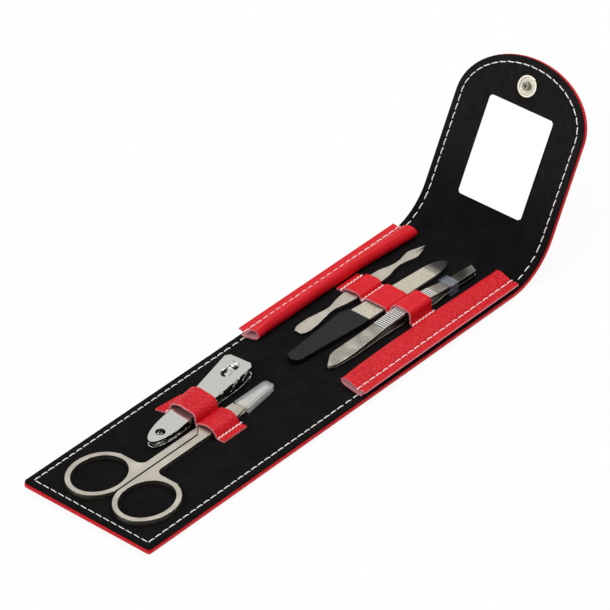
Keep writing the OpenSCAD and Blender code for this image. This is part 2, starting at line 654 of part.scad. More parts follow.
// cuticle pusher: own frame, y from the spade to the fork
function pusher_half(s) = pusher_w / 2 * lookup(s / pusher_len, [[0, 0.55], [0.02, 0.85], [0.045, 1], [0.11, 0.95],
    [0.17, 0.68], [0.235, 0.4], [0.27, 0.42], [0.335, 0.8], [0.39, 1], [0.62, 1], [0.68, 0.88], [0.735, 0.48],
    [0.78, 0.33], [0.82, 0.4], [0.88, 0.78], [0.91, 0.82], [0.96, 0.42], [1, 0.12]]);
pusher_in = 5.3;
pusher_y = 17.6;
pusher_lift = 0.35;
module pusher_place() on_back(pusher_seam + pusher_in, pusher_y, pusher_lift) rotate([0, 0, -0.6]) children();
module cuticle_pusher() {
    L = pusher_len;
    t = pusher_t;
    S = [for (k = [0:52]) L * k / 52];
    color(STEEL) pusher_place() difference() {
        intersection() {
            linear_extrude(t + 1) polygon(concat([for (s = S) [pusher_half(s), s]],
                [for (i = [52:-1:0]) [-pusher_half(S[i]), S[i]]]));
            sweep_x(12) polygon([[-1, 0.3 * t], [10, 0], [L * 0.3, 0], [L * 0.36, 0], [L * 0.66, 0], [L - 8, 0],
                [L + 1, 0.35 * t], [L + 1, 0.75 * t], [L - 10, 0.85 * t], [L * 0.66, t], [L * 0.36, t],
                [L * 0.22, 0.8 * t], [8, 0.7 * t], [-1, 0.45 * t]]);
        }
        translate([0, 0, -1]) linear_extrude(5) polygon([[0.35, L - 6.4], [1.0, L + 1], [-0.1, L + 1]]);
        for (x = [-0.6, 0.6]) translate([x - 0.12, L * 0.39, t - 0.12]) cube([0.24, L * 0.25, 1]);
    }
}

// nail file: own frame, y from the sleeve's rounded end to the tip
file_in = 4.35;
file_y = 2.3;
module file_place() on_back(file_seam + file_in, file_y, 0) rotate([0, 0, file_turn]) children();
file_z = (sleeve_t - file_t) / 2 + 0.05;
function file_half(s) = s < file_len - 9
    ? file_w / 2 * (1 - 0.235 * max(0, s - sleeve_len) / (file_len - 9 - sleeve_len))
    : max(0.25, file_w / 2 * 0.765 * sqrt(max(0, 1 - pow((s - file_len + 9) / 9, 1.7))));
module nail_file() {
    L = file_len;
    S = [for (k = [0:10]) L - 9 + 9 * k / 10];
    color(STEEL) file_place() translate([0.25, sleeve_len, file_z]) rotate([0, 0, file_cant])
        translate([0, -sleeve_len, 0]) linear_extrude(file_t) polygon(concat(
        [[file_w / 2 - 2.4, 9], [file_w / 2, sleeve_len - 4], [file_half(sleeve_len), sleeve_len]],
        [for (s = S) [file_half(s), s]], [for (i = [10:-1:0]) [-file_half(S[i]), S[i]]],
        [[-file_half(sleeve_len), sleeve_len], [-file_w / 2, sleeve_len - 4], [-file_w / 2 + 2.4, 9]]));
}
module file_sleeve() {
    w = sleeve_w / 2;
    l = sleeve_len;
    color(BLACK) file_place() translate([0, 0, 0.05]) difference() {
        linear_extrude(sleeve_t) {
            polygon([[-3.1, 3], [3.1, 3], [w, l - 4], [w - 0.1, l], [-w + 0.9, l], [-w, l - 4]]);
            translate([0, 3]) circle(r = 3.1, $fn = 40);
        }
        translate([0, 0, (sleeve_t - file_t) / 2 - 0.08]) linear_extrude(file_t + 0.16)
            polygon([[-2.8, 2.6], [2.6, 2.6], [w - 0.5, l - 4], [w - 0.5, l + 1], [-w + 1.1, l + 1],
                [-w + 0.6, l - 4]]);
    }
}

// tweezers: own frame, y from the tail to the slanted tips
tweezers_in = 4.75;
tweezers_y = 8.1;
module tweezers_place()
    on_back(tweezers_seam + tweezers_in, tweezers_y, tool_lift) rotate([0, 0, tweezers_turn]) children();
module tweezers_outline() {
    h = tweezers_w / 2;
    L = tweezers_len;
    P = [[h, 0.09 * L], [h, 0.16 * L], [h * 0.83, 0.32 * L], [h * 0.83, 0.7 * L], [h * 0.7, 0.77 * L],
        [h * 0.66, 0.93 * L]];
    polygon(concat([[1.4, 0], [h * 0.93, 0.035 * L]], P, [[h * 0.62, L - 1.6], [-h * 0.55, L]],
        [for (i = [len(P) - 1:-1:0]) [-P[i][0], P[i][1]]], [[-h * 0.85, 0.06 * L], [0.5, 0]]));
}
// the arms meet at the tail, over this length and at this height
weld_len = 0.11 * tweezers_len;
weld_h = arm_t + 0.2;
function arm_top(s) = let(L = tweezers_len) lookup(s / L,
    [[0, 1.7], [0.05, 2.3], [0.14, 2.45], [0.31, 3.7], [0.48, arm_rise - 0.25], [0.6, arm_rise], [0.73, arm_rise - 0.7],
    [0.83, 3.6], [0.93, 3.4], [1, 3.3]]);
function arm_low(s) = let(L = tweezers_len) lookup(s / L, [[0, 0.3], [0.03, 0], [0.7, 0], [0.77, 0.6], [1, 0.6]]);
module tweezers_lower_arm() {
    S = [for (k = [0:30]) tweezers_len * k / 30];
    color(STEEL) tweezers_place() intersection() {
        linear_extrude(2 * arm_rise) tweezers_outline();
        sweep_x(2 * tweezers_w) polygon(concat([for (s = S) [s, arm_low(s)]],
            [for (i = [30:-1:0]) [S[i], S[i] < weld_len ? weld_h - 0.05 : arm_low(S[i]) + arm_t]]));
    }
}
module tweezers_upper_arm() {
    S = [for (k = [0:40]) tweezers_len * k / 40];
    color(STEEL) tweezers_place() intersection() {
        linear_extrude(2 * arm_rise) tweezers_outline();
        sweep_x(2 * tweezers_w) polygon(concat([for (s = S) [s, arm_top(s)]],
            [for (i = [40:-1:0]) [S[i], max(weld_h + 0.05, arm_top(S[i]) - arm_t)]]));
    }
}
module tweezers_collar() {
    w = tweezers_w * 0.75 + 2 * (collar_wall + 0.2);
    color([0.75, 0.8, 0.88, 0.45]) tweezers_place() translate([0, tweezers_len * 0.79, -0.1]) difference() {
        translate([-w / 2, 0, 0]) cube([w, collar_len, 4.25 + collar_wall - 0.1]);
        translate([-w / 2 + collar_wall, -1, collar_wall]) cube([w - 2 * collar_wall, collar_len + 2, 3.7]);
    }
}

front_leather();
front_board();
front_lining();
front_strap();
snap_socket();
snap_socket_post();
bottom_spine_leather();
bottom_spine_lining();
back_leather();
back_board();
back_lining();
left_gusset();
right_gusset();
back_strap();
top_spine_leather();
top_spine_lining();
flap_leather();
flap_board();
flap_lining();
mirror_plate();  // mirror
snap_stud();
snap_cap();
clipper_lower_leaf();
clipper_pin();
clipper_rivet();
clipper_upper_leaf();
clipper_lever();
scissors_half_a();
scissors_half_b();
scissors_screw();
scissors_tip_guard();
cuticle_pusher();
nail_file();
file_sleeve();
tweezers_lower_arm();
tweezers_upper_arm();
tweezers_collar();
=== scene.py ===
import json
import math

import bmesh
import bpy
from mathutils import Matrix, Vector


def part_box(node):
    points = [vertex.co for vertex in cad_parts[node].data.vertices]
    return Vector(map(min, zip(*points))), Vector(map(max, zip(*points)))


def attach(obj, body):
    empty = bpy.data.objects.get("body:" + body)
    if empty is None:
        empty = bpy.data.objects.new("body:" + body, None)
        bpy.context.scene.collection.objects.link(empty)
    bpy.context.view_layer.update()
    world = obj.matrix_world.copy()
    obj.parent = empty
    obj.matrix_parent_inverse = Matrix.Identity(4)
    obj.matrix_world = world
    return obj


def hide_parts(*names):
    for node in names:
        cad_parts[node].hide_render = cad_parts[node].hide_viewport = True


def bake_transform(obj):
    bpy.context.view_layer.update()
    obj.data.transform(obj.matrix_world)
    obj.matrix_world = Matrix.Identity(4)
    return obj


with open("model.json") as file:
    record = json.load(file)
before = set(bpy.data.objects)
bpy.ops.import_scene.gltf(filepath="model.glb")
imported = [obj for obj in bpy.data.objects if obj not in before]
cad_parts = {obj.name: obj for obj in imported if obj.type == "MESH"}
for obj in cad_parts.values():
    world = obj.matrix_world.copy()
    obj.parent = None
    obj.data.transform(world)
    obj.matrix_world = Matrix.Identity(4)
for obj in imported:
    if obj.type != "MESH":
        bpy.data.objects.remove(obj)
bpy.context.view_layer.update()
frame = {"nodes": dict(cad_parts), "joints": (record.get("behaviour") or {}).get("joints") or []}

# The finish of a folding manicure case: leather shell, suede lining, stitching, straps and five steel tools.
# Lengths are worked out in millimetres, and every mesh becomes metres as it is made.
MM = 0.001
JOINT = {j["name"]: j for j in frame["joints"]}


def corners(node):
    """Lowest and highest corner of a frame node, in millimetres."""
    low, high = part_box(node)
    return low / MM, high / MM


def middle_of(node):
    """Middle of a frame node, in millimetres."""
    return sum(corners(node), Vector()) / 2


def heading(turn):
    """Level direction at an angle from +Y toward +X."""
    return Vector((math.sin(turn), math.cos(turn), 0))


# The case, read from the frame
HALF_W = corners("back_leather")[1].x
FREE_EDGE = corners("front_leather")[0].y
LINING_TOP = corners("back_lining")[1].z
FRONT_FOLD = JOINT["front_panel_fold"]["pos_m"][1] / MM
BOTTOM_FOLD = JOINT["bottom_spine_fold"]["pos_m"][1] / MM
FLAP_FOLD = Vector(JOINT["flap_fold"]["pos_m"]) / MM
SPINE_ANGLE = math.radians(-JOINT["top_spine_fold"]["range_deg"][0])
FLAP_ANGLE = SPINE_ANGLE + math.radians(-JOINT["flap_fold"]["range_deg"][0])
FLAP_OUT = Vector((0, -math.sin(FLAP_ANGLE), math.cos(FLAP_ANGLE)))

# Length of the flap, rise of its arched end, and radius of the near corners
FLAP_LEN = 59.3
ARCH = 22.5
CORNER_R = 1.5

# The lining really bends in one smooth curve, tangent to the back panel and to the flap
BEND_R = 24.0
KNEE_Y = FLAP_FOLD.y - (FLAP_FOLD.z - LINING_TOP) / math.tan(FLAP_ANGLE)
KNEE_TO_FOLD = (FLAP_FOLD.z - LINING_TOP) / math.sin(FLAP_ANGLE)
BEND_TANGENT = BEND_R * math.tan(FLAP_ANGLE / 2)
BEND_START = KNEE_Y - BEND_TANGENT
BEND_END = BEND_START + BEND_R * FLAP_ANGLE
FLAP_START = BEND_END + KNEE_TO_FOLD - BEND_TANGENT
TIP = FLAP_START + FLAP_LEN
SPINE_CUT = BEND_START + BEND_R * SPINE_ANGLE

# Where the four pieces of the shell meet along the case, with a little past both its ends
CUTS = [FREE_EDGE - 1, (FRONT_FOLD + BOTTOM_FOLD) / 2, 0.0, SPINE_CUT, TIP + 1]

# Running stitch: distance from the edge, pitch, length, and how far its ends lie over the leather
STITCH_INSET = 3.0
STITCH_PITCH = 3.5
STITCH_LEN = 2.75
STITCH_SEAT = 0.02
# Finer stitch of the strap seams
SEAM_PITCH = 1.75
SEAM_LEN = 1.6
# How far a stitch may lean to either side by chance, in radians
STITCH_LEAN = 0.035

# Where the gussets start and end along the case, and how high their seam lies over the lining
GUSSET = (BOTTOM_FOLD + 3.4, BOTTOM_FOLD + 92.0)
GUSSET_SEAM = 2.72

# Straps: thickness of the leather, then where each strap starts and how wide it is
STRAP_T = 0.8
FRONT_STRAP_Y = FREE_EDGE + 62.4
FRONT_STRAP_W = 12.2
BACK_STRAP_Y = BOTTOM_FOLD + 48.3
BACK_STRAP_W = 12.1

# Tools, read from the frame. The file's coating ends a degree off square
TWEEZERS_TURN = math.atan2(*JOINT["tweezers_slide"]["axis"][:2])
TWEEZERS_WAY = heading(TWEEZERS_TURN)
TWEEZERS_END = corners("tweezers_upper_arm")[1].y * math.cos(TWEEZERS_TURN) + 0.6
FILE_WAY = heading(math.atan2(*JOINT["file_slide"]["axis"][:2]) + math.radians(1))
FILE_END = corners("nail_file")[1].y
SLEEVE_START = corners("file_sleeve")[0].y
SCISSORS_MIDDLE = JOINT["scissors_pivot"]["pos_m"][0] / MM

# Half the gap between the scissors' shanks, with its rounded edges and without them
SPLIT_HALF = 0.42
SPLIT_CORE = 0.3

# Thumb dimple: distance before the pin, half axes of the ball that presses it, how far the ball's middle lies
# over the lever, and the radius that holds the whole dimple
DIMPLE_GAP = 4.9
DIMPLE_BALL = (2.35, 3.3, 1.12)
DIMPLE_LIFT = 0.55
DIMPLE_REACH = 3.2
# Radius of the hole over the rivet, with its rounded edge
HOLE_R = 2.15

# Tweezers' grip: start and end from the tail, half the width, pitch of the studs both ways, and their size
TWEEZERS_LEN = 82.0
KNURL = (28.5, 57.7)
KNURL_HALF = 2.62
KNURL_ROW = 1.0
KNURL_COLUMN = 0.87
STUD_SIZE = 0.56
STUD_HEIGHT = 0.24

# Milled rings on the snap's flange: radius and count of each, and the size of a mark
SNAP_RINGS = ((3.35, 46), (2.35, 34))
MARK_SIZE = 0.13


def on_case(x, s, h=0.0):
    """Place on the opened case: x across, s along it from the back panel's middle, h over the lining."""
    turn = min(max((s - BEND_START) / BEND_R, 0.0), FLAP_ANGLE)
    along = min(s, BEND_START) + (BEND_R - h) * math.sin(turn)
    up = LINING_TOP + BEND_R - (BEND_R - h) * math.cos(turn)
    past = max(s - BEND_END, 0.0)
    return Vector((x, along + past * math.cos(turn), up + past * math.sin(turn)))


def case_up(s):
    """Direction out of the lining at s."""
    turn = min(max((s - BEND_START) / BEND_R, 0.0), FLAP_ANGLE)
    return Vector((0, -math.sin(turn), math.cos(turn)))


def spline(points, steps):
    """Smooth open line through points, with steps pieces between neighbours."""
    points = [Vector(p) for p in points]
    line = []
    for i in range(len(points) - 1):
        a, b = points[max(i - 1, 0)], points[i]
        c, d = points[i + 1], points[min(i + 2, len(points) - 1)]
        for k in range(steps):
            t = k / steps
            line.append(0.5 * (2 * b + (c - a) * t + (2 * a - 5 * b + 4 * c - d) * t * t
                               + (3 * b - a - 3 * c + d) * t * t * t))
    return line + [points[-1]]


def steps(start, end, pitch):
    """Numbers from start to end, evenly about pitch apart."""
    count = max(1, round((end - start) / pitch))
    return [start + (end - start) * k / count for k in range(count + 1)]


def bell(distance, width):
    """1 at no distance, fading to either side over about width."""
    return math.exp(-(distance / width) ** 2)


# Shader and geometry nodes
class Value:
    """An output socket of a node. Arithmetic on it adds Math nodes."""

    def __init__(self, owner, socket):
        self.owner, self.socket = owner, socket

    def __add__(self, other):
        return self.owner.math("ADD", self, other)

    def __sub__(self, other):
        return self.owner.math("SUBTRACT", self, other)

    def __mul__(self, other):
        return self.owner.math("MULTIPLY", self, other)

    def __pow__(self, other):
        return self.owner.math("POWER", self, other)

    def __radd__(self, other):
        return self.owner.math("ADD", self, other)

    def __rmul__(self, other):
        return self.owner.math("MULTIPLY", self, other)

    def __rsub__(self, other):
        return self.owner.math("SUBTRACT", other, self)

    def clamp(self):
        return self.owner.add("ShaderNodeClamp", {}, {0: self})

    def between(self, low, high):
        """0 below low, 1 above high, a straight ramp between them."""
        return self.owner.add("ShaderNodeMapRange", {"clamp": True}, {"Value": self, 1: low, 2: high})

    def beside(self, name):
        """Another output of the same node."""
        return Value(self.owner, self.socket.node.outputs[name])


class Nodes:
    """A node tree in the making."""

    def __init__(self, tree):
        self.tree = tree

    def add(self, kind, settings, sockets, output=0):
        """One node: its settings first, then the values or links of its sockets."""
        node = self.tree.nodes.new(kind)
        for name, setting in settings.items():
            setattr(node, name, setting)
        for name, given in sockets.items():
            if isinstance(given, Value):
                self.tree.links.new(given.socket, node.inputs[name])
            else:
                node.inputs[name].default_value = given
        return Value(self, node.outputs[output]) if node.outputs else None

    def math(self, operation, *given):
        return self.add("ShaderNodeMath", {"operation": operation}, dict(enumerate(given)))

    def vector(self, operation, *given, output=0):
        """One Vector Math node; its output 1 is a number."""
        return self.add("ShaderNodeVectorMath", {"operation": operation}, dict(enumerate(given)), output)


class Paint(Nodes):
    """A material in the making, or the world."""

    def __init__(self, name, owner=None):
        self.material = owner or bpy.data.materials.new(name)
        self.material.use_nodes = True
        super().__init__(self.material.node_tree)
        self.tree.nodes.clear()
        self.here = self.add("ShaderNodeTexCoord", {}, {}, "Generated" if owner else "Object")

    def along(self, direction, start, end):
        """0 before start, 1 after end, in millimetres along a direction from the frame's origin."""
        place = self.vector("DOT_PRODUCT", self.here, Vector(direction).normalized(), output=1)
        return place.between(start * MM, end * MM)

    def from_axis(self, center, axis):
        """Distance in millimetres from the line through center, in millimetres, along axis."""
        away = self.vector("SUBTRACT", self.here, center * MM)
        turned = self.vector("CROSS_PRODUCT", away, axis.normalized())
        return self.vector("LENGTH", turned, output=1) * (1 / MM)

    def mix(self, share, low, high):
        """Colour low where share is 0, high where it is 1."""
        return self.add("ShaderNodeMix", {"data_type": "RGBA"}, {0: share, 6: low, 7: high}, 2)

    def noise(self, size, detail=2.0, rough=0.5):
        """Noise whose features are about size millimetres wide."""
        return self.add("ShaderNodeTexNoise", {}, {"Vector": self.here, "Scale": 1 / (size * MM),
                                                   "Detail": detail, "Roughness": rough})

    def cells(self, size, feature="F1", at=None):
        """Distance from the middles of cells about size millimetres wide."""
        sockets = {"Vector": at or self.here, "Scale": 1 / (size * MM)}
        if feature == "SMOOTH_F1":
            sockets["Smoothness"] = 0.6
        return self.add("ShaderNodeTexVoronoi", {"feature": feature}, sockets)

    def bump(self, height, depth, strength):
        """Normal of a relief whose full height is depth millimetres."""
        sockets = {"Height": height, "Distance": depth * MM, "Strength": strength}
        return self.add("ShaderNodeBump", {}, sockets)

    def surface(self, sockets):
        """Ends the material in one Principled shader and returns it."""
        shader = self.add("ShaderNodeBsdfPrincipled", {}, sockets)
        self.add("ShaderNodeOutputMaterial", {}, {"Surface": shader})
        return self.material


def rgb(red, green, blue):
    """Linear colour of an sRGB one given from 0 to 255."""
    shares = [share / 255 for share in (red, green, blue)]
    linear = [share / 12.92 if share <= 0.04045 else ((share + 0.055) / 1.055) ** 2.4 for share in shares]
    return (*linear, 1.0)


def red_leather(name, relief):
    """Dyed grain leather; relief is the height of its pebbles, in millimetres."""
    p = Paint(name)
    stray = p.add("ShaderNodeTexNoise", {}, {"Vector": p.here, "Scale": 420.0, "Detail": 1.0}, "Color")
    warp = p.vector("MULTIPLY_ADD", stray, (MM,) * 3, p.here)
    crease = p.cells(1.05, "SMOOTH_F1", warp).between(0.3, 0.62)
    small = p.cells(0.42, "SMOOTH_F1", warp).between(0.25, 0.7)
    fine = p.noise(0.2, 3.0)
    worn = p.noise(9.0, 3.0).between(0.42, 0.7)
    # The pebbles' crevices are painted darker as shade, the more so the deeper the relief
    color = p.mix(crease * min(1.0, relief * 2.4), rgb(211, 16, 30), rgb(170, 6, 18))
    color = p.mix(worn * 0.25, color, rgb(222, 34, 42))
    height = (1 - crease) * 0.7 + (1 - small) * 0.2 + fine * 0.18
    return p.surface({"Base Color": color, "Roughness": 0.3 + crease * 0.2 + fine * 0.08,
                      "Specular IOR Level": 0.18, "Normal": p.bump(height, relief, 0.9)})


def leather_flesh():
    """Rough inner side of the leather, pale pink."""
    p = Paint("leather_flesh")
    fibre = p.noise(0.35, 4.0, 0.65)
    return p.surface({"Base Color": p.mix(fibre, rgb(206, 120, 132), rgb(240, 200, 205)), "Roughness": 0.9,
                      "Specular IOR Level": 0.1, "Normal": p.bump(fibre, 0.12, 0.6)})


def leather_cut():
    """Cut edge: red grain side and pale fibres."""
    p = Paint("leather_cut")
    fibre = p.noise(0.3, 3.0, 0.6)
    return p.surface({"Base Color": p.mix(fibre.between(0.35, 0.7), rgb(214, 62, 80), rgb(244, 176, 186)),
                      "Roughness": 0.7, "Specular IOR Level": 0.2, "Normal": p.bump(fibre, 0.08, 0.5)})


def black_suede():
    """Brushed lining with flecks of lint, and painted light that makes it greyer where it rises toward the
    flap.
    """
    p = Paint("black_suede")
    nap = p.noise(0.3, 5.0, 0.75)
    brushed = p.noise(8.0, 4.0, 0.6).between(0.4, 0.75)
    lint = p.noise(0.42, 2.0, 0.8).between(0.66, 0.74)
    color = p.mix(nap.between(0.3, 0.75) * 0.6 + brushed * 0.35, rgb(4, 4, 4), rgb(28, 26, 26))
    color = p.mix(lint * 0.6, color, rgb(84, 80, 78))
    # Painted light: the lining is painted greyer the higher it rises toward the flap
    painted_light_rise = p.along((0, 0, 1), 6, 34) * (0.25 + p.noise(3.0, 4.0, 0.7).between(0.35, 0.7) * 0.35)
    color = p.mix(painted_light_rise, color, rgb(43, 42, 41))
    return p.surface({"Base Color": color, "Roughness": 1.0, "Specular IOR Level": 0.03,
                      "Sheen Weight": 0.02, "Sheen Roughness": 0.6, "Normal": p.bump(nap, 0.12, 0.7)})


def white_thread():
    """Twisted thread."""
    p = Paint("white_thread")
    ply = p.add("ShaderNodeTexWave", {"wave_type": "BANDS", "bands_direction": "DIAGONAL"},
                {"Vector": p.here, "Scale": 620.0, "Distortion": 1.5}, "Fac")
    return p.surface({"Base Color": p.mix(ply, rgb(238, 235, 230), rgb(254, 254, 252)), "Roughness": 0.6,
                      "Specular IOR Level": 0.3, "Normal": p.bump(ply, 0.05, 0.5)})


def satin_steel(name, shade=None):
    """Bead-blasted, nickel-plated steel; shade says where painted shade darkens it, from 0 to 1."""
    p = Paint(name)
    grain = p.noise(0.12, 3.0, 0.6)
    cloud = p.noise(6.0, 2.0).between(0.3, 0.75)
    color = p.mix(cloud, rgb(172, 166, 154), rgb(194, 188, 176))
    if shade:
        # Painted shade: the steel is painted nearly black where shade says
        color = p.mix(shade(p), color, rgb(26, 25, 24))
    return p.surface({"Base Color": color, "Metallic": 1.0, "Roughness": 0.26 + grain * 0.12 + cloud * 0.05,
                      "Normal": p.bump(grain, 0.012, 0.5)})


def scissors_split_shade(p):
    """1 along the split between the scissors' shanks, where shade is painted into the steel; the split ends a
    little before the strap.
    """
    left = p.along((1, 0, 0), SCISSORS_MIDDLE - SPLIT_HALF, SCISSORS_MIDDLE - SPLIT_CORE)
    right = p.along((1, 0, 0), SCISSORS_MIDDLE + SPLIT_CORE, SCISSORS_MIDDLE + SPLIT_HALF)
    return left * (1 - right) * (1 - p.along((0, 1, 0), FRONT_STRAP_Y - 4.4, FRONT_STRAP_Y - 4.2))


def tweezers_steel():
    """Satin steel, polished from the collar to the tips, where its colour is painted darker as a dark
    reflection.
    """
    p = Paint("tweezers_steel")
    grain = p.noise(0.12, 3.0, 0.6)
    # Painted reflection: the polished part is painted darker, as the dark reflection it shows
    tips = p.along(TWEEZERS_WAY, TWEEZERS_END - 17, TWEEZERS_END - 11)
    cloud = p.noise(5.0, 3.0).between(0.35, 0.75)
    steel = p.mix(cloud, rgb(134, 130, 121), rgb(182, 176, 165))
    return p.surface({"Base Color": p.mix(tips * 0.85, steel, rgb(104, 102, 98)), "Metallic": 1.0,
                      "Roughness": 0.3 + grain * 0.1 - tips * 0.18, "Normal": p.bump(grain, 0.012, 0.5)})


def groove_steel():
    """Steel painted dark as shade: the knurling's floor, milled marks, and the walls of the hole and the
    split; also the dark reflection painted on the thumb dimple's left wall.
    """
    p = Paint("groove_steel")
    grain = p.noise(0.15, 2.0)
    return p.surface({"Base Color": p.mix(grain, rgb(12, 12, 11), rgb(30, 29, 27)), "Metallic": 0.3,
                      "Roughness": 0.6 + grain * 0.2, "Specular IOR Level": 0.15,
                      "Normal": p.bump(grain, 0.02, 0.5)})


def bright_nickel():
    """Polished plate with fine scratches."""
    p = Paint("bright_nickel")
    scratch = p.noise(1.6, 4.0, 0.7)
    return p.surface({"Base Color": p.mix(scratch, rgb(188, 188, 183), rgb(202, 202, 197)), "Metallic": 1.0,
                      "Roughness": 0.05 + scratch * 0.04, "Normal": p.bump(p.noise(3.5, 1.0), 0.02, 0.15)})


def gilt_nickel(name, center, axis, painted_shade_radius):
    """Warm plate of the snap, painted darker about its middle as shade and dark reflection in its recess."""
    p = Paint(name)
    stain = p.noise(1.1, 3.0)
    rim = p.from_axis(center, axis).between(painted_shade_radius, painted_shade_radius + 0.5)
    # Painted shade and reflection: the middle of the snap is painted dark
    painted_shade_middle = p.mix(stain, rgb(104, 100, 88), rgb(176, 172, 158))
    plate = p.mix(stain, rgb(222, 216, 196), rgb(246, 243, 230))
    return p.surface({"Base Color": p.mix(rim, painted_shade_middle, plate), "Metallic": 1.0,
                      "Roughness": 0.14 + stain * 0.12 + rim * 0.08,
                      "Normal": p.bump(p.noise(0.5, 2.0), 0.03, 0.4)})


def pressed_nickel():
    """Plated side walls, wavy from the press, with light and dark patches painted as reflections."""
    p = Paint("pressed_nickel")
    wave = p.noise(2.6, 1.0, 0.4)
    # Painted reflection: random light and dark patches stand in for what the wavy plate reflects
    tone = p.noise(2.2, 2.0, 0.5).between(0.42, 0.58)
    return p.surface({"Base Color": p.mix(tone, rgb(128, 128, 125), rgb(240, 240, 236)), "Metallic": 1.0,
                      "Roughness": 0.06 + tone * 0.06, "Normal": p.bump(wave, 1.3, 1.0)})


def stud_steel():
    """Flat tops of the knurling, painted near white as their highlight."""
    p = Paint("stud_steel")
    wear = p.noise(0.5, 2.0)
    # Painted highlight: the tops are much lighter than the arm's own steel
    return p.surface({"Base Color": p.mix(wear, rgb(232, 231, 226), rgb(250, 249, 246)), "Metallic": 0.4,
                      "Roughness": 0.22 + wear * 0.1, "Normal": p.bump(wear, 0.02, 0.3)})


def file_grit():
    """Coated abrasive face of the nail file, and the dark bare steel past its coating."""
    p = Paint("file_grit")
    speck = p.cells(0.24)
    tone = p.noise(0.3, 2.0, 0.7).between(0.35, 0.65)
    tip = p.along(FILE_WAY, FILE_END - 10.5, FILE_END - 5.5)
    bare = p.along(FILE_WAY, FILE_END - 9.3, FILE_END - 8.7)
    color = p.mix(tone, rgb(148, 143, 129), rgb(212, 206, 190))
    color = p.mix(tip, color, p.mix(bare, rgb(150, 145, 136), rgb(58, 56, 53)))
    return p.surface({"Base Color": color, "Metallic": 0.75, "Roughness": 0.4 + tone * 0.2 - bare * 0.26,
                      "Normal": p.bump((1 - speck) * (1 - bare), 0.09, 0.9)})


def black_vinyl():
    """Soft vinyl sleeve; its rounded end has no steel behind it and looks clearer."""
    p = Paint("black_vinyl")
    skin = p.noise(0.6, 3.0, 0.6)
    wear = p.noise(5.0, 3.0).between(0.4, 0.75)
    filled = p.along(FILE_WAY, SLEEVE_START + 7.5, SLEEVE_START + 10)
    color = p.mix(wear, rgb(18, 18, 19), rgb(24, 24, 25))
    clearer = p.mix(p.noise(1.6, 2.0).between(0.5, 0.7) * 0.45, rgb(10, 10, 11), rgb(54, 54, 56))
    return p.surface({"Base Color": p.mix((1 - filled) * 0.8, color, clearer),
                      "Roughness": 0.38 + skin * 0.14 - (1 - filled) * 0.2, "Specular IOR Level": 0.14,
                      "Normal": p.bump(skin, 0.04, 0.3)})


def clear_plastic(name, tint, body, rim):
    """Thin clear plastic. It covers what is behind by the share body face on, and by rim more at a slant."""
    p = Paint(name)
    slant = p.add("ShaderNodeLayerWeight", {}, {"Blend": 0.3}, "Facing")
    haze = p.noise(2.5, 2.0)
    return p.surface({"Base Color": tint, "Roughness": 0.06 + haze * 0.08, "Specular IOR Level": 0.8,
                      "Alpha": (slant ** 2 * rim + haze * 0.04 + body).clamp()})


def mirror_glass():
    """Silvered glass with a little dust."""
    p = Paint("mirror_glass")
    dust = p.noise(0.8, 4.0, 0.7).between(0.62, 0.9)
    return p.surface({"Base Color": p.mix(dust, rgb(255, 255, 255), rgb(250, 250, 251)), "Metallic": 1.0,
                      "Roughness": 0.01 + dust * 0.04})


LEATHER, SMOOTH = red_leather("pebbled_red_leather", 0.2), red_leather("smooth_red_leather", 0.05)
FLESH, CUT_EDGE = leather_flesh(), leather_cut()
SUEDE, THREAD = black_suede(), white_thread()
SATIN, SCISSORS = satin_steel("satin_steel"), satin_steel("scissors_steel", scissors_split_shade)
TWEEZERS, PAINTED_DARK_STEEL = tweezers_steel(), groove_steel()
NICKEL, PRESSED, STUD_HIGHLIGHT = bright_nickel(), pressed_nickel(), stud_steel()
GILT = gilt_nickel("gilt_nickel", middle_of("snap_stud"), FLAP_OUT, 1.5)
SOCKET_GILT = gilt_nickel("gilt_nickel_socket", middle_of("snap_socket"), Vector((0, 0, 1)), 2.2)
GRIT, VINYL, MIRROR = file_grit(), black_vinyl(), mirror_glass()
CLEAR = clear_plastic("clear_plastic", rgb(244, 245, 247), 0.11, 0.8)
BLUISH = clear_plastic("bluish_plastic", rgb(152, 162, 184), 0.1, 0.8)


# Mesh tools
def add_object(name, data, *materials):
    """New object in the scene, with its materials put on."""
    obj = bpy.data.objects.new(name, data)
    bpy.context.scene.collection.objects.link(obj)
    for material in materials:
        data.materials.append(material)
    return obj


def object_from(bm, name, *materials):
    """Object with the mesh of a finished bmesh, which is then freed."""
    data = bpy.data.meshes.new(name)
    bm.to_mesh(data)
    bm.free()
    return add_object(name, data, *materials)


def slice_mesh(bm, place, normal, **ends):
    """Cuts edges into a bmesh where a plane crosses it."""
    bmesh.ops.bisect_plane(bm, geom=bm.verts[:] + bm.edges[:] + bm.faces[:], dist=1e-5,
                           plane_co=place, plane_no=normal, **ends)


def top_at(obj, x, y):
    """Highest point of obj under 40 mm at (x, y), given in millimetres and found in metres."""
    _, spot, _, _ = obj.ray_cast(Vector((x, y, 40)) * MM, Vector((0, 0, -1)))
    return spot


def finish_mesh(data, sharp):
    """Smooth shading, with edges sharper than sharp degrees kept crisp."""
    data.shade_smooth()
    data.set_sharp_from_angle(angle=math.radians(sharp))
    data.update()


def even_shading(obj):
    """Keeps large flat faces flat beside their rounded edges."""
    modifier = obj.modifiers.new("even_shading", "WEIGHTED_NORMAL")
    modifier.keep_sharp = True
    modifier.weight = 60
    apply_modifiers(obj)


def apply_modifiers(obj):
    """Replaces obj's mesh by its evaluated one and takes the modifiers off."""
    bpy.context.view_layer.update()
    shown = obj.evaluated_get(bpy.context.evaluated_depsgraph_get())
    data = bpy.data.meshes.new_from_object(shown)
    obj.modifiers.clear()
    obj.data = data
    return obj


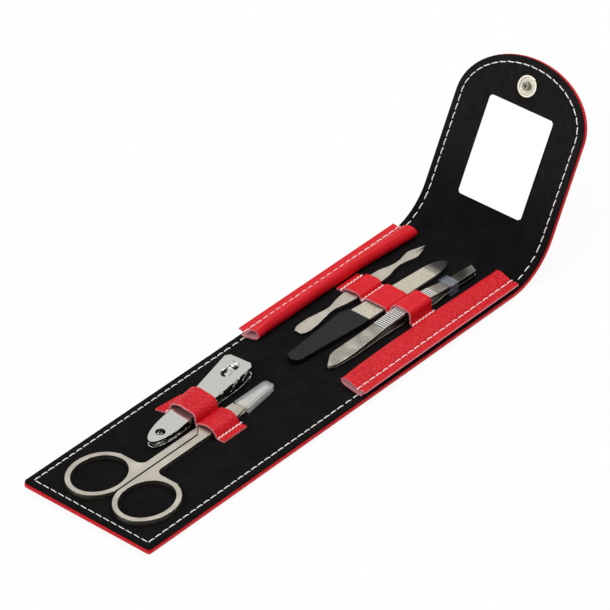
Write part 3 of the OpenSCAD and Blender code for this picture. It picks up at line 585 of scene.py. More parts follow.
def soften(obj, width, segments, angle, sharp):
    """Rounds the edges sharper than angle, by width millimetres."""
    bevel = obj.modifiers.new("soft_edges", "BEVEL")
    bevel.width, bevel.segments = width * MM, segments
    bevel.limit_method, bevel.angle_limit = "ANGLE", math.radians(angle)
    bevel.use_clamp_overlap = True
    apply_modifiers(obj)
    finish_mesh(obj.data, sharp)
    even_shading(obj)


def cut_out(obj, tool, sharp):
    """Takes the tool's shape out of obj and removes the tool."""
    cut = obj.modifiers.new("cut_out", "BOOLEAN")
    cut.object, cut.operation, cut.solver = tool, "DIFFERENCE", "EXACT"
    apply_modifiers(obj)
    finish_mesh(obj.data, sharp)
    bpy.data.objects.remove(tool)


def sheet_solid(name, grid, body, grain):
    """Strip of leather about its middle points (x, s, h), with the grain to the left of each row's run."""
    rows, count = len(grid), len(grid[0])
    middle = [[Vector(p) for p in row] for row in grid]
    bm = bmesh.new()
    def beside(j, i, away):
        """Vertex at a distance from a middle point, square to the strip."""
        du = middle[j][min(i + 1, count - 1)] - middle[j][max(i - 1, 0)]
        dv = middle[min(j + 1, rows - 1)][i] - middle[max(j - 1, 0)][i]
        return bm.verts.new(on_case(*(middle[j][i] + du.cross(dv).normalized() * away)) * MM)

    top, under = ([[beside(j, i, away) for i in range(count)] for j in range(rows)]
                  for away in (STRAP_T / 2, -STRAP_T / 2))
    for j in range(rows - 1):
        for i in range(count - 1):
            bm.faces.new((top[j][i], top[j][i + 1], top[j + 1][i + 1], top[j + 1][i]))
            back = bm.faces.new((under[j][i], under[j + 1][i], under[j + 1][i + 1], under[j][i + 1]))
            back.material_index = 1
    border = ([(0, i) for i in range(count)] + [(j, count - 1) for j in range(1, rows)]
              + [(rows - 1, i) for i in range(count - 2, -1, -1)] + [(j, 0) for j in range(rows - 2, 0, -1)])
    for (j, i), (n, m) in zip(border, border[1:] + border[:1]):
        bm.faces.new((top[j][i], under[j][i], under[n][m], top[n][m])).material_index = 2
    bmesh.ops.recalc_face_normals(bm, faces=bm.faces)
    obj = object_from(bm, name, grain, FLESH, CUT_EDGE)
    soften(obj, width=0.12, segments=2, angle=60, sharp=60)
    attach(obj, body)
    return obj


# Shell
def case_outline(inset):
    """Outline of the opened case in (x, s), anticlockwise from the near right corner, set in by inset."""
    radius = max(CORNER_R - inset, 0.0)
    keep = HALF_W - max(CORNER_R, inset)
    near = FREE_EDGE + max(CORNER_R, inset)
    line = []
    for side, start in ((-1, math.pi), (1, 1.5 * math.pi)):
        for k in range(7):
            a = start + k * math.pi / 12
            line.append((side * keep + radius * math.cos(a), near + radius * math.sin(a)))
    for k in range(73):
        a = k * math.pi / 72
        out = Vector((math.cos(a) / HALF_W, math.sin(a) / ARCH)).normalized()
        line.append((HALF_W * math.cos(a) - inset * out.x, TIP - ARCH + ARCH * math.sin(a) - inset * out.y))
    return line


def flat_slab(edge):
    """Flat solid of the case's outline; edge lists (inset, h) from the top face's rim to the bottom's."""
    bm = bmesh.new()
    rings = [[bm.verts.new((x, s, h)) for x, s in case_outline(inset)] for inset, h in edge]
    bm.faces.new(rings[0])
    bm.faces.new(rings[-1][::-1])
    for upper, lower in zip(rings, rings[1:]):
        for k in range(len(upper)):
            n = (k + 1) % len(upper)
            bm.faces.new((upper[k], lower[k], lower[n], upper[n]))
    # Rows of edges from start to end, pitch apart, which are closer where the case bends
    for start, end, pitch in ((FREE_EDGE + 1, FRONT_FOLD - 3, 5), (FRONT_FOLD - 2.7, BOTTOM_FOLD + 3, 0.4),
                              (BOTTOM_FOLD + 5, BEND_START - 4, 5), (BEND_START - 2, FLAP_START + 5, 1.0),
                              (FLAP_START + 8, TIP - 1, 4)):
        for s in steps(start, end, pitch):
            slice_mesh(bm, (0, s, 0), (0, 1, 0))
    for x in steps(-HALF_W + 2, HALF_W - 2, 4):
        slice_mesh(bm, (x, 0, 0), (1, 0, 0))
    return bm


def fold_crease(s):
    """Depth of the shallow creases that the folds leave in the lining."""
    return sum(0.07 * bell(s - fold, 0.9) for fold in (FRONT_FOLD, BOTTOM_FOLD))


def shell_piece(slab, name, k, creased):
    """Part of the slab between two cuts, closed there and bent to shape, with or without fold creases."""
    bm = slab.copy()
    for place, side in ((CUTS[k], -1), (CUTS[k + 1], 1)):
        slice_mesh(bm, (0, place, 0), (0, side, 0), clear_outer=True)
    bmesh.ops.holes_fill(bm, edges=[e for e in bm.edges if e.is_boundary])
    for v in bm.verts:
        x, s, h = v.co
        sunk = fold_crease(s) if creased and h > -0.3 else 0.0
        v.co = on_case(x, s, h - sunk) * MM
    bmesh.ops.recalc_face_normals(bm, faces=bm.faces)
    obj = object_from(bm, name)
    finish_mesh(obj.data, sharp=45)
    return obj


# How far the leather turns to either side of a fold, and for each piece of the shell the bodies on either
# side of its fold
FOLD_REACH = 2.4
BLENDS = [
    ("front", "front_panel", "bottom_spine", FRONT_FOLD - FOLD_REACH, FRONT_FOLD + FOLD_REACH),
    ("bottom_fold", "bottom_spine", "back_panel", BOTTOM_FOLD - FOLD_REACH, BOTTOM_FOLD + FOLD_REACH),
    ("top_bend", "back_panel", "top_spine", BEND_START + 2, SPINE_CUT - 1),
    ("flap", "top_spine", "flap", SPINE_CUT + 1.5, FLAP_START + 3.5)]


def bend_with(obj, k):
    """Bakes the placement of a shell piece or its stitches into its mesh."""
    _, near, far, start, end = BLENDS[k]
    on_case(0, start) * MM
    on_case(0, end) * MM
    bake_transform(obj)


# Edge of the leather and of the lining from the top's rim to the bottom's, as (inset, h over the lining)
LEATHER_EDGE = [(0.75, -0.78), (0.4, -0.82), (0.16, -0.95), (0.02, -1.2), (0.0, -1.6), (0.02, -2.0),
                (0.14, -2.38), (0.36, -2.64), (0.66, -2.77), (1.0, -2.8), (2.2, -2.8)]
LINING_EDGE = [(1.4, 0.0), (0.62, 0.0), (0.36, -0.05), (0.23, -0.18), (0.2, -0.35), (0.22, -0.62),
               (0.4, -0.8), (1.4, -0.8)]


def make_shell():
    """The leather and the lining, each in four pieces that bend over one fold and meet in stiff places."""
    leather, lining = flat_slab(LEATHER_EDGE), flat_slab(LINING_EDGE)
    replaced = [(["front_leather", "front_board"], ["front_lining"]),
                (["bottom_spine_leather"], ["bottom_spine_lining"]),
                (["back_leather", "back_board"], ["back_lining"]),
                (["top_spine_leather", "flap_leather", "flap_board"], ["top_spine_lining", "flap_lining"])]
    for k, (outside, inside) in enumerate(replaced):
        name = BLENDS[k][0]
        skin = shell_piece(leather, f"{name}_leather_skin", k, creased=False)
        if name == "front":
            sink_socket(skin)
        skin.data.materials.append(LEATHER)
        suede = shell_piece(lining, f"{name}_suede", k, creased=True)
        suede.data.materials.append(SUEDE)
        for obj, slot, nodes in ((skin, "red_leather", outside), (suede, "black_suede", inside)):
            bend_with(obj, k)
            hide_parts(*nodes)
    leather.free()
    lining.free()


def sink_socket(skin):
    """Bores the front panel's outer leather for the snap's socket ring."""
    low, high = corners("snap_socket")
    radius = ((high.x - low.x) / 2 + 0.03) * MM
    bm = bmesh.new()
    bmesh.ops.create_cone(bm, cap_ends=True, segments=64, radius1=radius, radius2=radius,
                          depth=(high.z - low.z + 0.02) * MM,
                          matrix=Matrix.Translation(middle_of("snap_socket") * MM))
    cut_out(skin, object_from(bm, "socket_bore"), sharp=45)


# Geometry nodes
class Growth(Nodes):
    """A geometry node tree in the making, which takes a mesh, numbers and materials by name."""

    def __init__(self, name, mesh, numbers, materials):
        super().__init__(bpy.data.node_groups.new(name, "GeometryNodeTree"))
        for kind, names in (("Geometry", [mesh]), ("Float", numbers), ("Material", materials)):
            for item in names:
                self.tree.interface.new_socket(item, in_out="INPUT", socket_type=f"NodeSocket{kind}")
        self.tree.interface.new_socket("Grown", in_out="OUTPUT", socket_type="NodeSocketGeometry")
        self.inputs = self.tree.nodes.new("NodeGroupInput").outputs

    def __getitem__(self, name):
        return Value(self, self.inputs[name])

    def set_on(self, spots, shape, turn, material):
        """The shape on every spot, as one mesh of a material."""
        placed = self.add("GeometryNodeInstanceOnPoints", {}, {"Points": spots, "Instance": shape,
                                                               "Rotation": turn})
        whole = self.add("GeometryNodeRealizeInstances", {}, {"Geometry": placed})
        return self.add("GeometryNodeSetMaterial", {}, {"Geometry": whole, "Material": material})

    def finish(self, *parts):
        """Sends the joined parts to the tree's output and returns the tree."""
        joined = self.tree.nodes.new("GeometryNodeJoinGeometry")
        for part in parts:
            self.tree.links.new(part.socket, joined.inputs[0])
        self.add("NodeGroupOutput", {}, {0: Value(self, joined.outputs[0])})
        return self.tree


# Stitches
def stitch_tree():
    """Stitches of thread along the edges of a wire, each turned so that its top faces the attribute up."""
    g = Growth("running_stitch", "Wire", ("Pitch", "Length", "Thickness", "Rise", "Slant"), ("Material",))
    wire = g.add("GeometryNodeMeshToCurve", {}, {"Mesh": g["Wire"]})
    marks = g.add("GeometryNodeCurveToPoints", {"mode": "LENGTH"}, {"Curve": wire, "Length": g["Pitch"]})
    up = g.add("GeometryNodeInputNamedAttribute", {"data_type": "FLOAT_VECTOR"}, {"Name": "up"})
    turn = g.add("FunctionNodeAxesToRotation", {"primary_axis": "X", "secondary_axis": "Z"},
                 {0: marks.beside("Tangent"), 1: up})
    start, end = (g.add("ShaderNodeCombineXYZ", {}, {"X": g["Length"] * way, "Z": g["Thickness"] * -0.35})
                  for way in (-0.5, 0.5))
    peak = g.add("ShaderNodeCombineXYZ", {}, {"Z": g["Rise"]})
    arc = g.add("GeometryNodeCurveQuadraticBezier", {},
                {"Resolution": 10, "Start": start, "Middle": peak, "End": end})
    ring = g.add("GeometryNodeCurvePrimitiveCircle", {}, {"Resolution": 8, "Radius": g["Thickness"] * 0.5})
    thread = g.add("GeometryNodeCurveToMesh", {}, {"Curve": arc, "Profile Curve": ring, "Fill Caps": True})
    soft = g.add("GeometryNodeSetShadeSmooth", {}, {"Geometry": thread})
    chance = g.add("FunctionNodeRandomValue", {"data_type": "FLOAT"},
                   {2: -STITCH_LEAN, 3: STITCH_LEAN, "Seed": 7}, 1)
    swing = g.add("ShaderNodeCombineXYZ", {}, {"Z": chance + g["Slant"]})
    lean = g.add("FunctionNodeEulerToRotation", {}, {"Euler": swing})
    twist = g.add("FunctionNodeRotateRotation", {"rotation_space": "LOCAL"}, {0: turn, 1: lean})
    return g.finish(g.set_on(marks, soft, twist, g["Material"]))


STITCH_TREE = stitch_tree()


def grow(name, data, tree, **inputs):
    """Runs a geometry node tree on a mesh and keeps the plain result as one object."""
    obj = add_object(name, data)
    modifier = obj.modifiers.new("grow", "NODES")
    modifier.node_group = tree
    for item in tree.interface.items_tree:
        if item.in_out == "INPUT" and item.name in inputs:
            modifier[item.identifier] = inputs[item.name]
    return apply_modifiers(obj)


def stitches(name, wires, pitch=STITCH_PITCH, length=STITCH_LEN, thickness=0.44, rise=0.42, slant=-0.05):
    """Stitches along wires, each a list of (place, up) in millimetres."""
    data = bpy.data.meshes.new(name)
    places, edges, ups = [], [], []
    for wire in wires:
        first = len(places)
        places += [p * MM for p, _ in wire]
        ups += [u for _, u in wire]
        edges += [(k, k + 1) for k in range(first, len(places) - 1)]
    data.from_pydata(places, edges, [])
    data.attributes.new("up", "FLOAT_VECTOR", "POINT").data.foreach_set("vector", [c for u in ups for c in u])
    return grow(name, data, STITCH_TREE, Pitch=pitch * MM, Length=length * MM, Thickness=thickness * MM,
                Rise=rise * MM, Slant=slant, Material=THREAD)


def outline_wires(low, high, h):
    """The stitch line within s from low to high, as separate runs on the case's surface at height h."""
    line = [Vector(p) for p in case_outline(STITCH_INSET)]
    dense = []
    for a, b in zip(line, line[1:] + line[:1]):
        count = max(1, math.ceil((b - a).length / 0.5))
        dense += [a.lerp(b, k / count) for k in range(count)]
    inside = [low <= p.y <= high for p in dense]
    first = next((k for k in range(len(dense)) if inside[k] and not inside[k - 1]), 0)
    runs, run = [], []
    for k in range(len(dense) + 1):
        m = (first + k) % len(dense)
        if k < len(dense) and inside[m]:
            run.append(dense[m])
        elif run:
            runs.append(run)
            run = []
    face = 1 if h > -1 else -1
    return [[(on_case(p.x, p.y, h), case_up(p.y) * face) for p in run] for run in runs if len(run) > 3]


def stitch_shell():
    """The running stitch on both faces of the shell, apart from the inner rows under the gussets."""
    corner = FREE_EDGE + STITCH_INSET
    edge = corner + STITCH_LEN / 2
    inner = [(edge, CUTS[1]), (CUTS[1], GUSSET[0] - 0.8), (GUSSET[1] + 0.8, CUTS[3]), (CUTS[3], CUTS[4])]
    for k, (low, high) in enumerate(inner):
        wires = outline_wires(low, high, STITCH_SEAT)
        wires += outline_wires(CUTS[k], CUTS[k + 1], -LINING_TOP + STITCH_SEAT)
        bend_with(stitches(f"{BLENDS[k][0]}_stitches", wires), k)
    # Along the free edge the inner row is pulled flat, so that the scissors slide over it
    reach = HALF_W - STITCH_INSET - STITCH_LEN / 2 - 0.3
    row = [[spot for spot in wire if abs(spot[0].x) < reach]
           for wire in outline_wires(CUTS[0], corner + 0.3, 0.0)]
    tight = stitches("front_edge_stitches", row, rise=0.0)
    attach(tight, "front_panel")


# Gussets, each given by the middle line of its leather as (distance from the edge, h over the lining)
LEFT_FOLD = [(0.1, 2.72), (1.4, 2.62), (3.0, 2.3), (3.95, 2.95), (4.75, 4.2), (5.95, 5.2), (7.25, 5.1),
             (8.1, 3.95), (8.24, 2.5), (7.6, 1.1), (6.3, 0.54), (4.5, 0.5), (2.6, 0.5), (1.4, 0.5)]
RIGHT_FOLD = [(-0.6, 2.62), (1.2, 2.72), (3.0, 2.38), (4.5, 2.95), (6.8, 3.62), (9.0, 3.92), (10.8, 3.6),
              (11.85, 2.5), (11.55, 1.2), (10.4, 0.56), (8.5, 0.5), (5.0, 0.5), (2.4, 0.5), (1.4, 0.5)]


def gusset(name, side, fold, grain, flare, node):
    """Strip folded over on itself and sewn along its raw edges; flare widens its far end, in millimetres."""
    line = spline([(d, h, 0) for d, h in fold], 7)
    reach = max(d for d, _ in fold)
    grid = []
    for s in steps(GUSSET[0], GUSSET[1], 0.7):
        # The fold is squeezed flat and drawn along at its ends, and its leather dips at each stitch
        from_near, to_far = s - GUSSET[0], GUSSET[1] - s
        squeeze = 0.34 * bell(from_near, 7) + 0.14 * bell(to_far, 5)
        drawn = 1.5 * bell(from_near, 6) + 1.6 * bell(to_far, 5)
        spread = flare * max(0.0, 1 - to_far / 32)
        dip = 0.2 * (0.6 - 0.4 * math.cos(2 * math.pi * (from_near - 1.0) / STITCH_PITCH))
        row = []
        for d, h, _ in line:
            across = max(0.0, d - STITCH_INSET) / (reach - STITCH_INSET)
            pull = dip * bell(d - STITCH_INSET, 0.8) if h > 1.5 else 0
            wave = 0.1 * math.sin(s * 0.21 + d * 0.5) * across * min(1, h / 2)
            flat = squeeze * across * max(0.0, h - 0.5)
            row.append((side * (HALF_W - d - spread * across), s + drawn * across, h + wave - flat - pull))
        grid.append(row)
    if side > 0:
        grid = grid[::-1]
    obj = sheet_solid(name, grid, "back_panel", grain)
    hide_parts(node)
    top = [(on_case(side * (HALF_W - STITCH_INSET), s, GUSSET_SEAM + STITCH_SEAT), case_up(s))
           for s in steps(GUSSET[0] + 1.0, GUSSET[1] - 0.8, 1.0)]
    sewn = stitches(f"{name}_stitches", [top])
    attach(sewn, "back_panel")


# Straps, each given by the middle line of its leather as (x, h over the lining), and its seams by the same
FRONT_LOOPS = [(-21.5, 0.46), (-19.6, 0.42), (-18.2, 0.44), (-17.5, 0.9), (-16.9, 2.5), (-16.05, 5.0),
               (-13.9, 6.2), (-10.45, 6.5), (-7.1, 6.2), (-4.95, 5.1), (-4.2, 2.7), (-3.9, 1.6), (-3.5, 1.3),
               (-3.1, 2.0), (-2.2, 3.05), (0.9, 3.6), (4.0, 3.15), (5.4, 1.9), (6.05, 0.8), (6.8, 0.44),
               (8.2, 0.42), (9.6, 0.46)]
BACK_LOOPS = [(-21.1, 0.46), (-19.6, 0.42), (-18.4, 0.46), (-17.3, 1.7), (-16.0, 2.55), (-13.2, 2.75),
              (-10.5, 2.55), (-9.75, 1.95), (-9.3, 1.0), (-8.85, 0.46), (-8.3, 0.74), (-7.6, 1.6),
              (-6.3, 2.4), (-2.3, 2.64), (1.6, 2.4), (2.75, 1.7), (3.1, 0.75), (3.5, 0.42), (4.2, 1.5),
              (5.6, 4.3), (6.9, 5.75), (10.0, 6.1), (13.0, 5.9), (14.0, 5.0), (14.25, 3.0), (14.4, 1.2),
              (15.0, 0.5), (15.8, 0.42), (17.4, 0.46)]
FRONT_SEAMS = [(-18.1, 0.9), (-3.5, 1.78), (6.9, 0.9)]
BACK_SEAMS = [(-19.0, 0.9), (-8.75, 1.0), (3.45, 0.95), (15.7, 0.9)]


def front_skew(x, v):
    """Shift of the front strap in x and y, v being 0 at its near edge and 1 at its far one. The clipper leans
    to the left and draws its loop with it, and the left foot runs on nearer."""
    lean = -1.05 * (v - 0.5) * min(1.0, max(0.0, (-3.4 - x) / 2))
    foot = min(1.0, max(0.0, (-17.5 - x) / 3))
    return lean * (1 - foot) + 1.2 * (v - 0.5) * foot, -1.3 * foot


def no_skew(x, v):
    """The back strap runs square across."""
    return 0.0, 0.0


def strap(name, node, body, y0, width, loops, seams, grain, skew, thread):
    """Strap of leather in loops, sewn down between them with a thread of the given thickness."""
    line = spline([(x, h, 0) for x, h in loops], 6)
    top = max(p.y for p in line)
    grid = []
    for y in steps(y0, y0 + width, 0.6):
        v = (y - y0) / width
        edge = abs(2 * v - 1)
        row = []
        for x, h, _ in line:
            # The loops' edges stand up and run in a slight wave, and their skin is a little uneven
            dx, dy = skew(x, v)
            lift = (h - STRAP_T / 2) / top
            run = 0.12 * math.sin(x * 0.9) * edge
            rise = lift * (0.12 * edge ** 4 + 0.03 * math.sin(y * 1.7 + x))
            row.append((x + dx, y + dy + run, h + rise))
        grid.append(row)
    obj = sheet_solid(name, grid, body, grain)
    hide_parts(node)
    wires = []
    for x, h in seams:
        wire = []
        for y in steps(y0 + 0.5, y0 + width - 0.3, 0.5):
            dx, dy = skew(x, (y - y0) / width)
            wire.append((Vector((x + dx, y + dy, LINING_TOP + h)), Vector((0, 0, 1))))
        wires.append(wire)
    sewn = stitches(f"{name}_seams", wires, SEAM_PITCH, SEAM_LEN, thread, rise=0.5, slant=0.18)
    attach(sewn, body)


def make_straps():
    """The front strap with two loops and the back strap with three."""
    strap("front_strap_leather", "front_strap", "front_panel", FRONT_STRAP_Y, FRONT_STRAP_W, FRONT_LOOPS,
          FRONT_SEAMS, LEATHER, front_skew, 0.5)
    strap("back_strap_leather", "back_strap", "back_panel", BACK_STRAP_Y, BACK_STRAP_W, BACK_LOOPS,
          BACK_SEAMS, SMOOTH, no_skew, 0.54)


# Steel tools: the frame's own solids, with their edges rounded
def dress(node, body, slot, *materials, edge=0.12, segments=2):
    """Finished copy of a frame node in its place, with its sharp edges rounded by edge millimetres."""
    bm = bmesh.new()
    bm.from_mesh(frame["nodes"][node].data)
    bmesh.ops.remove_doubles(bm, verts=bm.verts, dist=0.002 * MM)
    bmesh.ops.dissolve_limit(bm, angle_limit=math.radians(0.6), verts=bm.verts, edges=bm.edges)
    for face in bm.faces:
        face.material_index = 0
    obj = object_from(bm, f"{node}_finished", *materials)
    soften(obj, edge, segments, angle=30, sharp=35)
    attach(obj, body)
    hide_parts(node)
    return obj


def knurl_tree():
    """A blunt stud on every face of a patch, and the patch itself as the floor of the grooves, carrying their
    painted shade.
    """
    g = Growth("knurling", "Patch", ("Size", "Height", "Turn"), ("Stud", "Groove"))
    spots = g.add("GeometryNodeMeshToPoints", {"mode": "FACES"}, {"Mesh": g["Patch"]})
    stud = g.add("GeometryNodeMeshCone", {}, {"Vertices": 4, "Radius Top": g["Size"] * 0.707,
                                              "Radius Bottom": g["Size"] * 0.82, "Depth": g["Height"]})
    turn = g.add("ShaderNodeCombineXYZ", {}, {"Z": g["Turn"] + math.pi / 4})
    floor = g.add("GeometryNodeSetMaterial", {}, {"Geometry": g["Patch"], "Material": g["Groove"]})
    return g.finish(g.set_on(spots, stud, turn, g["Stud"]), floor)


def knurl(arm, body):
    """Grip of small studs on the outer face of the tweezers' upper arm."""
    side = Vector((TWEEZERS_WAY.y, -TWEEZERS_WAY.x, 0))
    pivot = Vector(JOINT["tweezers_squeeze"]["pos_m"]) / MM
    tail = pivot + TWEEZERS_WAY * (TWEEZERS_END - TWEEZERS_LEN - pivot.dot(TWEEZERS_WAY))
    along = steps(KNURL[0], KNURL[1], KNURL_ROW)
    across = steps(-KNURL_HALF, KNURL_HALF, KNURL_COLUMN)
    spots = []
    for a in along:
        for c in across:
            place = tail + TWEEZERS_WAY * a + side * c
            spots.append(top_at(arm, place.x, place.y) + Vector((0, 0, 0.02 * MM)))
    wide = len(across)
    corner = [j * wide + i for j in range(len(along) - 1) for i in range(wide - 1)]
    data = bpy.data.meshes.new("tweezers_knurling")
    data.from_pydata(spots, [], [(k, k + 1, k + wide + 1, k + wide) for k in corner])
    if data.polygons[0].normal.z < 0:
        data.flip_normals()
    # The patch lies just over the arm as a sheet of painted shade between the studs, whose tops carry a
    # painted highlight
    grip = grow("tweezers_knurling", data, knurl_tree(), Size=STUD_SIZE * MM, Height=STUD_HEIGHT * MM,
                Turn=-TWEEZERS_TURN, Stud=STUD_HIGHLIGHT, Groove=PAINTED_DARK_STEEL)
    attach(grip, body)


def darken_split(half):
    """Gives the walls and rounded edges along the scissors' split the dark steel, as painted shade in the
    gap.
    """
    for face in half.data.polygons:
        near = abs(face.center.x / MM - SCISSORS_MIDDLE) < SPLIT_HALF
        if near and abs(face.normal.z) < 0.98 and abs(face.normal.x) > 0.1:
            face.material_index = 1


def press_sides(obj):
    """Gives the walls of a pressed piece their wavy plate and its painted reflections, but not its narrow
    rounded edges.
    """
    for face in obj.data.polygons:
        if abs(face.normal.z) < 0.5 and face.area > 0.02 * MM * MM:
            face.material_index = 1


def press_dimple(lever):
    """Presses the oval thumb dimple into the lever, in front of the pin, and paints its left wall dark, as a
    painted reflection.
    """
    along = -Vector(JOINT["clipper_slide"]["axis"])
    middle = Vector(JOINT["clipper_lever_lift"]["pos_m"]) / MM - along * DIMPLE_GAP
    # The lever's height is taken beside its middle, off the pin's slot
    top = top_at(lever, middle.x + 1.9, middle.y).z
    place = Matrix.Translation(Vector((middle.x, middle.y, top / MM + DIMPLE_LIFT)) * MM)
    place @= Matrix.Rotation(math.atan2(-along.x, along.y), 4, "Z")
    place @= Matrix.Diagonal((*(half * MM for half in DIMPLE_BALL), 1.0))
    bm = bmesh.new()
    bmesh.ops.create_uvsphere(bm, u_segments=48, v_segments=24, radius=1.0, matrix=place)
    cut_out(lever, object_from(bm, "dimple"), sharp=35)
    even_shading(lever)
    for face in lever.data.polygons:
        away = face.center / MM - middle
        inside = face.center.z < top - 0.03 * MM and away.to_2d().length < DIMPLE_REACH
        if inside and 0.1 < face.normal.z < 0.995:
            # Painted reflection: the left wall gets the dark steel, the rest of the dimple the bright plate
            face.material_index = 2 if away.x + away.y * 0.6 < 0.1 else 0


def darken_hole(lever):
    """Leaves the wall of the hole over the rivet in shade."""
    middle = middle_of("clipper_rivet")
    for face in lever.data.polygons:
        if abs(face.normal.z) < 0.9 and (face.center / MM - middle).to_2d().length < HOLE_R:
            # The wall is given the steel painted dark as shade
            face.material_index = 2


def milled_ring_tree():
    """Small blunt marks set round a ring."""
    g = Growth("milled_ring", "Ring", ("Size",), ("Material",))
    spots = g.add("GeometryNodeMeshToPoints", {"mode": "VERTICES"}, {"Mesh": g["Ring"]})
    mark = g.add("GeometryNodeMeshIcoSphere", {}, {"Radius": g["Size"], "Subdivisions": 2})
    return g.finish(g.set_on(spots, mark, (0, 0, 0), g["Material"]))


def mill_snap(stud):
    """Two rings of fine marks on the stud's flange, painted dark as shade."""
    middle = middle_of("snap_stud")
    across = Vector((1, 0, 0))
    along = FLAP_OUT.cross(across)
    spots = []
    for radius, count in SNAP_RINGS:
        for k in range(count):
            a = 2 * math.pi * k / count
            over = middle + (across * math.cos(a) + along * math.sin(a)) * radius + FLAP_OUT * 8
            hit, spot, _, _ = stud.ray_cast(over * MM, -FLAP_OUT)
            if hit:
                spots.append(spot)
    data = bpy.data.meshes.new("snap_milling")
    data.from_pydata(spots, [], [])
    # The marks take the steel painted dark as shade
    marks = grow("snap_milling", data, milled_ring_tree(), Size=MARK_SIZE * MM, Material=PAINTED_DARK_STEEL)
    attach(marks, "flap")


def make_tools():
    """The five tools, the mirror and the snap."""
    for node, body in (("scissors_half_a", "scissors"), ("scissors_half_b", "scissors_moving")):
        half = dress(node, body, "satin_steel", SCISSORS, PAINTED_DARK_STEEL, edge=0.3, segments=3)
        darken_split(half)
    dress("scissors_screw", "scissors", "satin_steel", SATIN, edge=0.08)
    dress("scissors_tip_guard", "tip_guard", "clear_plastic", CLEAR, edge=0.15)
    press_sides(dress("clipper_lower_leaf", "clipper", "bright_nickel", NICKEL, PRESSED))
    dress("clipper_pin", "clipper", "bright_nickel", NICKEL, edge=0.1)
    dress("clipper_rivet", "clipper", "bright_nickel", NICKEL, edge=0.08)
    press_sides(dress("clipper_upper_leaf", "clipper_jaw", "bright_nickel", NICKEL, PRESSED))
    lever = dress("clipper_lever", "clipper_handle", "bright_nickel", NICKEL, PRESSED, PAINTED_DARK_STEEL, edge=0.16,
                  segments=3)
    press_sides(lever)
    darken_hole(lever)
    press_dimple(lever)
    dress("cuticle_pusher", "pusher", "satin_steel", SATIN, edge=0.18, segments=3)
    dress("nail_file", "file", "satin_steel", GRIT, edge=0.06)
    dress("file_sleeve", "file", "black_vinyl", VINYL, edge=0.35, segments=3)
    dress("tweezers_lower_arm", "tweezers", "satin_steel", TWEEZERS, edge=0.16)
    arm = dress("tweezers_upper_arm", "tweezers_moving", "satin_steel", TWEEZERS, edge=0.16)
    knurl(arm, "tweezers_moving")
    dress("tweezers_collar", "collar", "clear_plastic", BLUISH, edge=0.2, segments=3)
    dress("mirror", "flap", "mirror_glass", MIRROR, edge=0.15)
    stud = dress("snap_stud", "flap", "bright_nickel", GILT, edge=0.1, segments=3)
    dress("snap_cap", "flap", "bright_nickel", GILT, edge=0.1)
    dress("snap_socket", "front_panel", "bright_nickel", SOCKET_GILT, edge=0.1)
    dress("snap_socket_post", "front_panel", "bright_nickel", SOCKET_GILT, edge=0.05)
    mill_snap(stud)


# Studio, in metres. Polished metal sees a darker side of the room in the direction DARK_SIDE
DARK_SIDE = (0.852, -0.310, 0.423)
FLOOR_Z = -0.0004
LIGHT_AIM = (0, -0.03, 0)

# The photograph's viewpoint: the camera's place, its right, up and back directions as columns, and its lens
CAMERA_PLACE = (0.93297, -1.13415, 1.05741)
CAMERA_TURN = ((0.759522, -0.379223, 0.528504),
               (0.650481, 0.442381, -0.617392),
               (0.000329, 0.812705, 0.582676))
CAMERA_LENS = 289.23


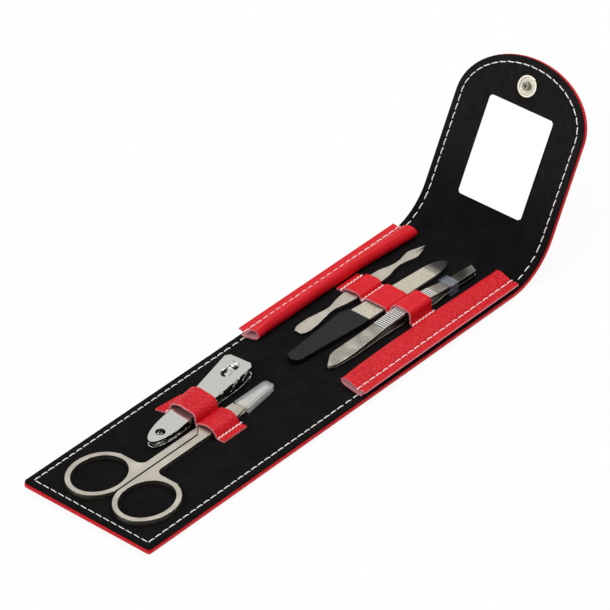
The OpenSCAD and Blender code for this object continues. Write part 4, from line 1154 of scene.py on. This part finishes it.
def make_floor():
    """White floor that shows as bright in the picture and in gloss, and keeps the object's shadow."""
    p = Paint("floor_white")
    white = p.mix(p.noise(40.0, 2.0), rgb(242, 242, 242), rgb(246, 246, 246))
    paper = p.add("ShaderNodeBsdfDiffuse", {}, {"Color": white})
    glow = p.add("ShaderNodeEmission", {}, {"Color": (1, 1, 1, 1), "Strength": 1.0})
    camera, glossy, through = ray_kinds(p)
    both = p.add("ShaderNodeMixShader", {}, {0: (camera + glossy + through).clamp() * 0.9, 1: paper, 2: glow})
    p.add("ShaderNodeOutputMaterial", {}, {"Surface": both})
    bm = bmesh.new()
    bmesh.ops.create_grid(bm, x_segments=4, y_segments=4, size=6.0,
                          matrix=Matrix.Translation((0, 0, FLOOR_Z)))
    floor = object_from(bm, "floor", p.material)


def make_world():
    """Even light from a white room, which gloss sees darker on one side."""
    world = bpy.data.worlds.new("studio")
    p = Paint("studio", world)
    camera, glossy, through = ray_kinds(p)
    facing = p.vector("DOT_PRODUCT", p.here, DARK_SIDE, output=1)
    level = 0.5 + (camera + glossy + through).clamp() * 0.5 - glossy * facing.between(0.72, 0.97) * 0.75
    sky = p.add("ShaderNodeBackground", {}, {"Color": (1, 1, 1, 1), "Strength": level})
    p.add("ShaderNodeOutputWorld", {}, {"Surface": sky})
    bpy.context.scene.world = world


def ray_kinds(p):
    """1 for rays from the camera, from gloss and through glass, each on its own socket."""
    path = p.add("ShaderNodeLightPath", {}, {})
    return [path.beside(f"Is {kind} Ray") for kind in ("Camera", "Glossy", "Transmission")]


def soft_light(name, place, size, power):
    """Round lamp at a place, turned toward the object."""
    data = bpy.data.lights.new(name, "AREA")
    data.shape, data.size, data.energy = "DISK", size, power
    lamp = add_object(name, data)
    lamp.location = place
    lamp.rotation_euler = (Vector(LIGHT_AIM) - Vector(place)).to_track_quat("-Z", "Y").to_euler()


def make_camera():
    """Camera at the photograph's viewpoint: a long lens, level, from the front right."""
    data = bpy.data.cameras.new("camera")
    data.sensor_width = 36.0
    data.lens = CAMERA_LENS
    data.clip_end = 20.0
    camera = add_object("camera", data)
    camera.matrix_world = Matrix.Translation(CAMERA_PLACE) @ Matrix(CAMERA_TURN).to_4x4()
    bpy.context.scene.camera = camera


make_camera()
make_floor()
make_world()
soft_light("key", (0.05, 0.42, 1.1), 0.5, 6.0)
soft_light("fill", (-0.1, -1.22, 0.9), 1.0, 7.0)
bpy.context.scene.view_settings.view_transform = "Standard"

make_shell()
stitch_shell()
gusset("left_gusset_fold", -1, LEFT_FOLD, SMOOTH, 2.3, "left_gusset")
gusset("right_gusset_fold", 1, RIGHT_FOLD, LEATHER, -0.8, "right_gusset")
make_straps()
make_tools()
